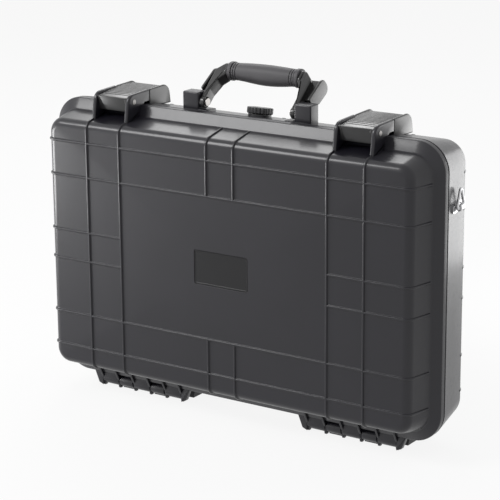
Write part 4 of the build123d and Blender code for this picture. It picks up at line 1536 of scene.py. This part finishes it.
@dataclass
class LatchLever:
    """One latch's lever: a grooved thumb plate between raised side rails, hollow underneath."""

    form: CaseForm
    side: int
    half_width: float = 21.4
    rail_thickness: float = 2.7
    rail_edge: float = 1.2
    rail_brow: Pair = (0.7, 2.2)
    rail_rise: float = 0.3
    tongue_half: float = 17.8
    cheek_thickness: float = 2.6
    cheek_edge: float = 0.6
    overlap: float = 0.3
    plate_edge: float = 0.2
    crown_radius: float = 250.0
    crown_depth: float = 70.0
    crown_height: float = 158.8
    drop: float = 0.7
    drop_depths: Pair = (30.0, 50.0)
    front_depth: float = 17.0
    foot_setback: float = 3.2
    rail_depth: float = 50.5
    rear_depth: float = 87.0
    rear_lean: float = 3.0
    rear_radius: float = 11.0
    rear_turn: Pair = (80.0, 8.0)
    rear_steps: int = 8
    foot_height: float = 138.8
    skirt_height: float = 139.6
    wall: float = 2.6
    lip: float = 0.7
    lip_radius: float = 0.9
    lip_stop: float = 20.0
    lip_steps: int = 6
    crest_setback: float = 1.6
    hollow_front: float = 32.0
    hollow_gap: float = 2.0
    hollow_steps: int = 5
    arch_height: float = 147.0
    arch_depths: Pair = (28.2, 42.0)
    sole: Pair = (24.2, 140.6)
    cheek_sole: Pair = (24.0, 140.5)
    cheek_bend: float = 36.0
    cheek_heel: Pair = (48.0, 141.0)
    cheek_sunk: float = 0.2
    nose_lean: float = 0.2
    nose_reach: Pair = (-2.4, 0.4)
    nose_radius: float = 0.8
    groove_first: float = 25.5
    groove_pitch: float = 3.9
    groove_count: int = 13
    groove_width: float = 1.6
    groove_depth: float = 1.0
    pin: Pair = (24.0, 149.5)
    barrel_radius: float = 3.2
    barrel_inset: float = 1.0

    def _plate_height(self, depth: Array) -> Array:
        """Height of the thumb plate: the crown's circle less a smooth step down to its rear.

        Args:
            depth: Depths on the plate.

        Returns:
            The heights there.
        """
        fall = self.crown_radius - np.sqrt(self.crown_radius**2 - (depth - self.crown_depth) ** 2)
        first, last = self.drop_depths
        share = np.clip((depth - first) / (last - first), 0, 1)
        return self.crown_height - fall - self.drop * share**2 * (3 - 2 * share)

    def _grooved_top(self) -> Array:
        """The plate's top, with a flat-bottomed groove at each pitch.

        Returns:
            Rows of depth and height.
        """
        start = self.groove_first + self.groove_pitch * np.arange(self.groove_count)
        half = self.groove_width / 2
        across = np.array([-half, -half / 2, half / 2, half])
        down = np.array([0.0, self.groove_depth, self.groove_depth, 0.0])
        depth = (start[:, None] + across).ravel()
        height = self._plate_height(depth) - np.tile(down, self.groove_count)
        return np.column_stack([depth, height])

    def _plate(self) -> Array:
        """Outline of the thumb plate in depth and height: front face, lip, grooved top, rear
        wall, and back along the inside.

        Returns:
            The outline, (n, 2).
        """
        front, radius = self.front_depth, self.lip_radius
        crest = self._plate_height(np.array([front + self.crest_setback]))[0]
        centre = (front + radius, crest + self.lip - radius)
        lip = arc(centre, radius, 180, self.lip_stop, self.lip_steps)
        rear = self.rear_depth - self.rear_lean
        level = self._plate_height(np.array([rear]))[0]
        centre = (rear - self.rear_radius, level - self.rear_radius)
        corner = arc(centre, self.rear_radius, *self.rear_turn, self.rear_steps)
        inner = arc(centre, self.rear_radius - self.wall, *self.rear_turn, self.rear_steps)[::-1]
        hollow_rear = centre[0] - self.hollow_gap
        under = np.linspace(hollow_rear, self.hollow_front, self.hollow_steps + 1)
        return np.vstack([
            [(front + self.foot_setback, self.skirt_height)],
            lip,
            self._grooved_top(),
            corner,
            [(self.rear_depth, self.foot_height)],
            [(self.rear_depth - self.wall, self.foot_height)],
            inner,
            np.column_stack([under, self._plate_height(under) - self.wall]),
            [(self.arch_depths[0], self.arch_height), self.sole],
        ])

    def _rail(self) -> Array:
        """Outline of a side rail and its skirt.

        Returns:
            The outline in depth and height.
        """
        fall, brow = self.rail_brow
        rear = self.rear_depth - self.rear_lean
        return rounded_outline((
            (self.rail_depth, self.skirt_height, ROUND),
            (self.rail_depth, self.crown_height - fall, brow),
            (rear, self.crown_height + self.rail_rise, self.rear_radius),
            (self.rear_depth, self.foot_height, ROUND),
        ), self.rear_steps)

    def _cheek(self) -> Array:
        """Outline of a side wall of the tongue, between the lid's ears.

        Returns:
            The outline in depth and height.
        """
        front, bend, rear = self.front_depth, self.cheek_bend, self.rail_depth
        arch_front, arch_rear = self.arch_depths
        heel, floor = self.cheek_heel
        low, high = self.nose_reach
        depths = np.array([front + self.crest_setback, bend, rear])
        crest, middle, end = self._plate_height(depths)
        return rounded_outline((
            (front + self.foot_setback, self.skirt_height, EASED),
            (front, crest + low, ROUND),
            (front + self.nose_lean, crest + high, self.nose_radius),
            (bend, middle - self.cheek_sunk, 2 * ROUND),
            (rear, end - self.cheek_sunk, 2 * KEEN),
            (rear, floor, EASED),
            (heel, floor, ROUND),
            (arch_rear, self.arch_height, ROUND),
            (arch_front, self.arch_height, ROUND),
            (*self.cheek_sole, self.nose_radius),
        ))

    def build(self, wardrobe: Wardrobe, ground: Ground) -> None:
        """Builds the lever from its plate, rails, cheeks and barrel.

        Args:
            wardrobe: The finishes.
            ground: Where the case stands.
        """
        name = dict(SIDES)[self.side]
        shape = Shape(f"lever_{name}", ground)
        middle = self.side * self.form.latch_x
        rail = self.half_width - self.rail_thickness
        cheek = self.tongue_half - self.cheek_thickness
        half = rail + self.overlap
        reach = self.tongue_half - self.barrel_inset
        shape.prism(self._plate(), middle - half, middle + half, Along.X, self.plate_edge)
        for side in BOTH:
            start, stop = middle + side * rail, middle + side * self.half_width
            shape.prism(self._rail(), start, stop, Along.X, self.rail_edge)
            start, stop = middle + side * cheek, middle + side * self.tongue_half
            shape.prism(self._cheek(), start, stop, Along.X, self.cheek_edge)
        shape.rod(self.pin, self.barrel_radius, middle - reach, middle + reach)
        shape.piece(wardrobe, Slot.LATCH, f"latch_{name}", f"latch_lever_{name}")


@dataclass
class HandleFrame:
    """The handle's two arms on their core rod: each a cheek, a shoulder, a leaf and a web.

    The arms rise towards the back, at the lean above level. Outlines are drawn in x, up along
    the arms and out to their front, and their corners are two of these and a radius.
    """

    pivot_depth: float = 52.0
    pivot_height: float = 152.0
    lean: float = 42.0
    boss_radius: float = 6.0
    boss_edge: float = 0.8
    inner_x: float = 50.1
    outer_x: float = 54.9
    end_x: float = 41.3
    front: float = 6.0
    back: float = 7.0
    foot_up: float = 1.5
    waist_up: float = 12.5
    waist_radius: float = 6.0
    end_up: Pair = (32.5, 46.4)
    end_radius: float = 0.8
    bend: Triple = (55.3, 37.0, 5.0)
    brow: Triple = (47.0, 45.2, 4.0)
    elbow: Triple = (47.6, 25.0, 6.0)
    cheek_edge: float = 1.3
    shoulder_width: float = 3.0
    shoulder_edge: float = 1.0
    shoulder: Corners = ((31.9, -7.2, 4.5), (47.2, -7.2, 4.5), (47.2, 7.3, 5.0), (31.9, 7.3, 4.5))
    slot: Corners = ((44.9, 33.5, 1.0), (48.6, 33.5, 1.4), (48.4, 41.5, 1.4), (44.9, 43.3, 1.2))
    slot_depth: float = 2.0
    slot_proud: float = 0.04
    slot_edge: float = 0.05
    leaf_x: float = 60.3
    leaf_thickness: float = 2.8
    leaf_edge: float = 0.9
    leaf_steps: int = 8
    leaf: Corners = (
        (14.0, 3.6, 1.6), (45.1, -1.0, 6.8), (45.1, -18.6, 6.8), (23.2, -14.6, 4.0), (14.0, -4.0, 1.6)
    )
    web_x: float = 50.0
    web_root: float = 1.2
    web_edge: float = 0.3
    web: Corners = ((16.0, -4.0, 0.4), (16.0, -1.0, 1.0), (42.5, -3.0, 1.0), (42.5, -6.0, 0.4))
    rod_up: float = 40.5
    rod_radius: float = 5.5
    rod_reach: float = 44.5
    rod_edge: float = 0.5
    around: int = 40
    steps: int = 7

    def _turned(self, up: Array, out: Array) -> tuple[Array, Array]:
        """Depth and height of places on the arms: the pivot, plus up along the lean, plus out
        at a right angle to it.

        Args:
            up: How far up the arms.
            out: How far out to their front.

        Returns:
            The depths and the heights.
        """
        lean = math.radians(self.lean)
        depth = self.pivot_depth + up * math.cos(lean) - out * math.sin(lean)
        height = self.pivot_height + up * math.sin(lean) + out * math.cos(lean)
        return depth, height

    def _beside(self, shape: Shape, outline: Array, start: float, stop: float, edge: float) -> None:
        """Adds an outline of (up, out) that is drawn out along X.

        Args:
            shape: The shape that takes it.
            outline: Closed outline, (n, 2).
            start: One end.
            stop: The other end.
            edge: Radius of the end edges.
        """
        turned = np.column_stack(self._turned(outline[:, 0], outline[:, 1]))
        shape.prism(turned, start, stop, Along.X, edge)

    def _facing(self, shape: Shape, outline: Array, reach: Pair, edge: float, side: int) -> None:
        """Adds an outline of (x, up) that is drawn out towards the front of the arms.

        Args:
            shape: The shape that takes it.
            outline: Closed outline, (n, 2), of the right arm.
            reach: How far out its two ends are.
            edge: Radius of the end edges.
            side: Below zero for the left arm.
        """
        out, across, up = prism_rows(outline, *reach, edge)
        depth, height = self._turned(up, np.broadcast_to(out, up.shape))
        shape.loft(shape.ground.at(side * across, depth, height))

    def _cheek(self) -> Array:
        """Outline of an arm's cheek: straight, then broad at the shoulder.

        Returns:
            The outline in x and up.
        """
        low, high = self.end_up
        return rounded_outline((
            (self.inner_x, self.foot_up, EASED),
            (self.outer_x, self.foot_up, EASED),
            self.bend,
            self.brow,
            (self.end_x, high, self.end_radius),
            (self.end_x, low, ROUND),
            self.elbow,
            (self.inner_x, self.waist_up, self.waist_radius),
        ), self.steps)

    def build(self, wardrobe: Wardrobe, ground: Ground) -> None:
        """Builds the frame, and a painted shade over each slot: a dark matt patch just proud of the
        arm.

        Args:
            wardrobe: The finishes.
            ground: Where the case stands.
        """
        arms = Shape("handle_arms", ground)
        slots = Shape("handle_slot_shades", ground)
        boss = circle((0.0, 0.0), self.boss_radius, self.around)
        rod = circle((self.rod_up, 0.0), self.rod_radius, self.around)
        # Painted shade: each slot is not cut into the arm but is a thin dark matt patch, drawn from
        # inside the cheek to just proud of its front.
        slot = rounded_outline(self.slot)
        slot_reach = (self.front - self.slot_depth, self.front + self.slot_proud)
        shoulder = rounded_outline(self.shoulder, self.steps)
        leaf = rounded_outline(self.leaf, self.leaf_steps)
        web = rounded_outline(self.web)
        shoulder_end = self.end_x + self.shoulder_width
        leaf_end = self.leaf_x + self.leaf_thickness
        for side in BOTH:
            self._facing(arms, self._cheek(), (-self.back, self.front), self.cheek_edge, side)
            self._facing(slots, slot, slot_reach, self.slot_edge, side)
            for outline, start, stop, edge in (
                (boss, self.inner_x, self.outer_x, self.boss_edge),
                (shoulder, self.end_x, shoulder_end, self.shoulder_edge),
                (leaf, self.leaf_x, leaf_end, self.leaf_edge),
                (web, self.web_x, leaf_end - self.web_root, self.web_edge),
            ):
                self._beside(arms, outline, side * start, side * stop, edge)
        self._beside(arms, rod, -self.rod_reach, self.rod_reach, self.rod_edge)
        arms.piece(wardrobe, Slot.FRAME, "handle", "handle_frame")
        slots.piece(wardrobe, Slot.SEAL, "handle")


@dataclass
class Grip:
    """The rubber sleeve of the handle: swollen under the fingers, with grooves at both ends."""

    half_length: float = 41.0
    middle_radius: float = 9.78
    end_radius: float = 8.7
    collar_radius: float = 9.5
    collar_width: float = 4.0
    groove_width: float = 0.9
    groove_depth: float = 0.7
    groove_pitch: float = 2.6
    groove_count: int = 3
    groove_lean: float = 0.05
    core_radius: float = 5.5
    belly: float = 1.3
    belly_x: float = 4.0
    belly_power: float = 1.5
    edge: float = 0.8
    edge_steps: int = 4
    around: int = 64
    swell_steps: int = 20

    def _profile(self) -> Array:
        """Rows of place along the sleeve and radius, from one end to the other.

        Between the end grooves the radius falls off with the square of the distance from the
        middle. A groove is a step down and up again.

        Returns:
            The rows, (n, 2).
        """
        first = self.half_length - self.collar_width
        last = first - self.groove_pitch * (self.groove_count - 1) - self.groove_width
        low = self.end_radius - self.groove_depth
        middle = np.linspace(0, last, self.swell_steps + 1)
        swell = (self.middle_radius - self.end_radius) * (middle / last) ** 2
        rows = [np.column_stack([middle, self.middle_radius - swell])]
        for number in range(self.groove_count):
            final = number == self.groove_count - 1
            inner = last + self.groove_pitch * number
            outer = inner + self.groove_width
            after = self.collar_radius if final else self.end_radius
            bottom = [(inner + self.groove_lean, low), (outer - self.groove_lean, low)]
            rows.append(np.array([*bottom, (outer, after)]))
            if not final:
                rows.append(np.array([(inner + self.groove_pitch, self.end_radius)]))
        end, radius, edge = self.half_length, self.collar_radius, self.edge
        rows.append(arc((end - edge, radius - edge), edge, 90, 0, self.edge_steps))
        rows.append(np.array([(end, self.core_radius)]))
        right = np.vstack(rows)
        return np.vstack([right[::-1] * [-1, 1], right[1:]])

    def build(self, wardrobe: Wardrobe, ground: Ground) -> None:
        """Builds the sleeve: its profile turned about the rod, plus a belly under it.

        The belly adds to the radius by a power of the cosine of the angle from straight down,
        where that is above zero, times a bump along the sleeve that is widest a little right
        of the middle.

        Args:
            wardrobe: The finishes.
            ground: Where the case stands.
        """
        low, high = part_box("handle_grip")
        centre_y = (low.y + high.y) / 2 / MILLIMETRE
        centre_z = (low.z + high.z) / 2 / MILLIMETRE
        along, radius = self._profile().T[..., None]
        angle = np.linspace(0, 2 * math.pi, self.around, endpoint=False)[None]
        reach = self.half_length - self.collar_width - self.groove_pitch * self.groove_count
        bump = np.clip(1 - ((along - self.belly_x) / reach) ** 2, 0, 1) ** self.belly_power
        under = np.clip(-np.sin(angle), 0, 1) ** self.belly_power
        swollen = radius + self.belly * bump * under
        x = np.broadcast_to(along, swollen.shape)
        y = centre_y + swollen * np.cos(angle)
        z = centre_z + swollen * np.sin(angle)
        shape = Shape("grip_sleeve", ground)
        shape.loft(np.stack([x, y, z], axis=-1))
        shape.piece(wardrobe, Slot.GRIP, "handle", "handle_grip")


@dataclass
class ValveKnob:
    """The pressure valve's fluted knob, on the base's sloping top."""

    radius: float = 12.9
    height: float = 6.4
    flutes: int = 20
    flute_depth: float = 0.9
    flute_power: float = 2.5
    bevel: float = 0.9
    bevel_crest: float = 0.3
    dish: float = 0.7
    dish_radius: float = 8.5
    dish_brim: float = 0.8
    dish_fall: float = 0.6
    dish_middle: float = 1.0
    stem_radius: float = 3.0
    stem_length: float = 5.0
    around: int = 240

    def _profile(self, top: float) -> Array:
        """Rows of radius, place along the axis and share of the flutes' ripple.

        Args:
            top: The top's place along the axis.

        Returns:
            The rows, from the stem over the rim into the dish.
        """
        base, floor = top - self.height, top - self.dish
        radius, bevel, dish = self.radius, self.bevel, self.dish_radius
        crest = bevel * self.bevel_crest
        return np.array([
            (self.stem_radius, base - self.stem_length, 0.0),
            (self.stem_radius, base, 0.0),
            (radius - bevel, base, 1.0),
            (radius, base + bevel, 1.0),
            (radius, top - bevel, 1.0),
            (radius - crest, top - crest, 1.0),
            (radius - bevel, top, 0.9),
            (dish + self.dish_brim, top, 0.0),
            (dish, top - self.dish * self.dish_fall, 0.0),
            (dish - self.dish_middle, floor, 0.0),
            (self.dish_middle, floor, 0.0),
        ])

    def build(self, wardrobe: Wardrobe, ground: Ground) -> None:
        """Builds the knob: rings about its axis, each with the flutes' ripple.

        The radius at an angle is the ring's radius less the flute depth times a power of the
        cosine of the angle times the number of flutes, and only outer rings have the ripple.

        Args:
            wardrobe: The finishes.
            ground: Where the case stands.
        """
        joint = next(item for item in frame["joints"] if item["name"] == "valve_turn")
        axis = np.array(joint["axis"], float)
        axis /= np.linalg.norm(axis)
        middle = np.array(joint["pos_m"], float) / MILLIMETRE
        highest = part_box("valve_knob")[1].z / MILLIMETRE
        lean = math.hypot(axis[0], axis[1])
        top = (highest - middle[2] - self.radius * lean) / axis[2]
        level = np.array([1.0, 0.0, 0.0])
        back = np.cross(axis, level)
        reach, along, share = self._profile(top).T[..., None]
        angle = np.linspace(0, 2 * math.pi, self.around, endpoint=False)[None]
        ripple = (0.5 + 0.5 * np.cos(self.flutes * angle)) ** self.flute_power
        reach = reach - self.flute_depth * share * ripple
        across = (reach * np.cos(angle))[..., None] * level
        deep = (reach * np.sin(angle))[..., None] * back
        shape = Shape("valve_cap", ground)
        shape.loft(middle + across + deep + along[..., None] * axis)
        shape.piece(wardrobe, Slot.VALVE, "valve_knob", "valve_knob")


@dataclass
class Feet:
    """The two feet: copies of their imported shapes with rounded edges."""

    edge: float = 0.6
    segments: int = 2
    flat_angle: float = 0.6
    edge_angle: float = 35.0

    def _foot(self, side: str, wardrobe: Wardrobe, ground: Ground) -> None:
        """Builds one foot.

        The copy's loose triangles are merged and its flat faces joined, so that the bevel meets
        only real edges.

        Args:
            side: Its side.
            wardrobe: The finishes.
            ground: Where the case stands.
        """
        node = f"foot_{side}"
        shape = Shape(f"{side}_foot", ground)
        mesh = shape.mesh
        mesh.from_mesh(frame["nodes"][node].data)
        shape.merge(mesh.verts)
        angle = math.radians(self.flat_angle)
        bmesh.ops.dissolve_limit(mesh, angle_limit=angle, verts=mesh.verts, edges=mesh.edges)
        made = shape.piece(wardrobe, Slot.FOOT, "base", node)
        bevel = made.modifiers.new("edges", "BEVEL")
        bevel.width = self.edge * MILLIMETRE
        bevel.segments = self.segments
        bevel.limit_method = "ANGLE"
        bevel.angle_limit = math.radians(self.edge_angle)
        bevel.harden_normals = True

    def build(self, wardrobe: Wardrobe, ground: Ground) -> None:
        """Builds both feet.

        Args:
            wardrobe: The finishes.
            ground: Where the case stands.
        """
        for _, side in SIDES:
            self._foot(side, wardrobe, ground)


# The studio


def turned_matrix(right: Array, up: Array, back: Array, place: Array) -> Matrix:
    """Matrix of an object whose own axes are right, up and back.

    Args:
        right: Its first axis.
        up: Its second axis.
        back: Its third axis.
        place: Where it is.

    Returns:
        The matrix.
    """
    matrix = np.eye(4)
    matrix[:3] = np.column_stack([right, up, back, place])
    return Matrix(matrix.tolist())


@dataclass(frozen=True)
class Lamp:
    """A square lamp that faces the case: its place and side in metres, and its watts."""

    name: str
    place: Triple
    side: float
    power: float


@dataclass
class Studio:
    """Camera, lamps, floor and surroundings.

    Lengths are in metres, the sensor is in millimetres and angles are in degrees. The offset
    is the camera's place from its aim, along its own right, up and back.
    """

    azimuth: float = 33.8465
    elevation: float = 15.4613
    roll: float = -0.4414
    focal_pixels: float = 1960.19
    image_pixels: float = 500.0
    sensor: float = 36.0
    aim: Triple = (0.0, -0.048, 0.160)
    offset: Triple = (0.02846, 0.0204, 1.8912)
    floor_half: float = 12.0
    floor_grey: float = 0.8
    floor_glow: float = 0.88
    sky_level: float = 0.50
    lamps: tuple[Lamp, ...] = (
        Lamp("key_lamp", (-1.24, -1.31, 1.63), 0.8, 26.0),
        Lamp("side_lamp", (0.37, 0.62, 0.2), 0.4, 1.4),
        Lamp("top_lamp", (-0.9, 1.1, 1.5), 0.8, 8.0),
        Lamp("left_lamp", (-0.85, -0.40, 0.04), 0.4, 8.0),
    )

    def build(self) -> None:
        """Sets up everything that isn't the case."""
        bpy.context.scene.view_settings.view_transform = "Standard"
        self._camera()
        self._surroundings()
        self._floor()
        for lamp in self.lamps:
            self._lamp(lamp)

    def _camera(self) -> None:
        """Places the camera: it looks along -back, with right and up turned by the roll."""
        turn, tilt, roll = np.radians([self.azimuth, self.elevation, self.roll])
        level = np.array([np.cos(turn), np.sin(turn), 0.0])
        ahead = np.array([np.sin(turn), -np.cos(turn), 0.0])
        back = np.cos(tilt) * ahead + np.array([0.0, 0.0, np.sin(tilt)])
        upright = np.cross(back, level)
        right = np.cos(roll) * level + np.sin(roll) * upright
        up = -np.sin(roll) * level + np.cos(roll) * upright
        place = np.array(self.aim) + np.column_stack([right, up, back]) @ np.array(self.offset)
        lens = bpy.data.cameras.new("camera")
        lens.sensor_width = self.sensor
        lens.lens = self.focal_pixels * self.sensor / self.image_pixels
        camera = add_object("camera", lens)
        camera.matrix_world = turned_matrix(right, up, back, place)
        bpy.context.scene.camera = camera

    @staticmethod
    def _seen(shader: Shader) -> Value:
        """1 for the rays that show a surface: camera, glossy and transmission rays.

        Args:
            shader: The tree that asks.

        Returns:
            1 or 0.
        """
        names = ("Is Camera Ray", "Is Glossy Ray", "Is Transmission Ray")
        camera, glossy, through = (shader.node("ShaderNodeLightPath", {}, {}, name) for name in names)
        return (camera + glossy + through).clamped()

    def _surroundings(self) -> None:
        """White surroundings, softer as a lamp than as they are seen."""
        world = bpy.data.worlds.new("surroundings")
        bpy.context.scene.world = world
        world.use_nodes = True
        shader = Shader(world.node_tree)
        level = self.sky_level + self._seen(shader) * (1.0 - self.sky_level)
        light = shader.node("ShaderNodeBackground", {}, {"Color": WHITE, "Strength": level})
        shader.end("ShaderNodeOutputWorld", light)

    def _floor(self) -> None:
        """White floor that keeps a soft shadow of the case."""
        corners = self.floor_half * np.array([(-1, -1, 0), (1, -1, 0), (1, 1, 0), (-1, 1, 0)])
        mesh = bpy.data.meshes.new("floor")
        mesh.from_pydata(corners.tolist(), [], [(0, 1, 2, 3)])
        floor = add_object("floor", mesh)
        material, shader = new_material("studio_floor")
        grey = (self.floor_grey, self.floor_grey, self.floor_grey, 1.0)
        matt = shader.node("ShaderNodeBsdfDiffuse", {}, {"Color": grey})
        glow = shader.node("ShaderNodeEmission", {}, {"Color": WHITE, "Strength": 1.0})
        amount = self._seen(shader) * self.floor_glow
        surface = shader.node("ShaderNodeMixShader", {}, {0: amount, 1: matt, 2: glow})
        shader.end("ShaderNodeOutputMaterial", surface)
        mesh.materials.append(material)

    def _lamp(self, lamp: Lamp) -> None:
        """Adds a lamp that the camera doesn't see.

        Args:
            lamp: Its place, size and power.
        """
        light = bpy.data.lights.new(lamp.name, "AREA")
        light.shape = "SQUARE"
        light.size = lamp.side
        light.energy = lamp.power
        made = add_object(lamp.name, light)
        made.visible_camera = False
        back = np.array(lamp.place) - np.array(self.aim)
        back /= np.linalg.norm(back)
        right = np.cross([0.0, 0.0, 1.0], back)
        right /= np.linalg.norm(right)
        made.matrix_world = turned_matrix(right, np.cross(back, right), back, np.array(lamp.place))


# Build


def remove_start_objects() -> None:
    """Removes what Blender starts with and the frame doesn't hold."""
    kept = set(frame["nodes"].values()) | set(frame["bodies"].values())
    for item in list(bpy.data.objects):
        if item not in kept:
            bpy.data.objects.remove(item)


def main() -> None:
    """Builds the studio and dresses the case."""
    remove_start_objects()
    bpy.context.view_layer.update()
    Studio().build()
    wardrobe = Wardrobe()
    for entry in frame["record"]["subparts"]:
        wardrobe.dress_node(entry["node"], Slot(entry["material_slot"]))
    form = CaseForm()
    ground = Ground.from_frame(RibSection().rise)
    levers = [LatchLever(form, side) for side in BOTH]
    fittings = (HandleFrame(), Grip(), ValveKnob(), Feet())
    for part in (LidShell(form), BaseShell(form), NamePlate(), *levers, *fittings):
        part.build(wardrobe, ground)


if __name__ == "__main__":
    logging.basicConfig(level=logging.INFO, format="%(message)s")
    main()
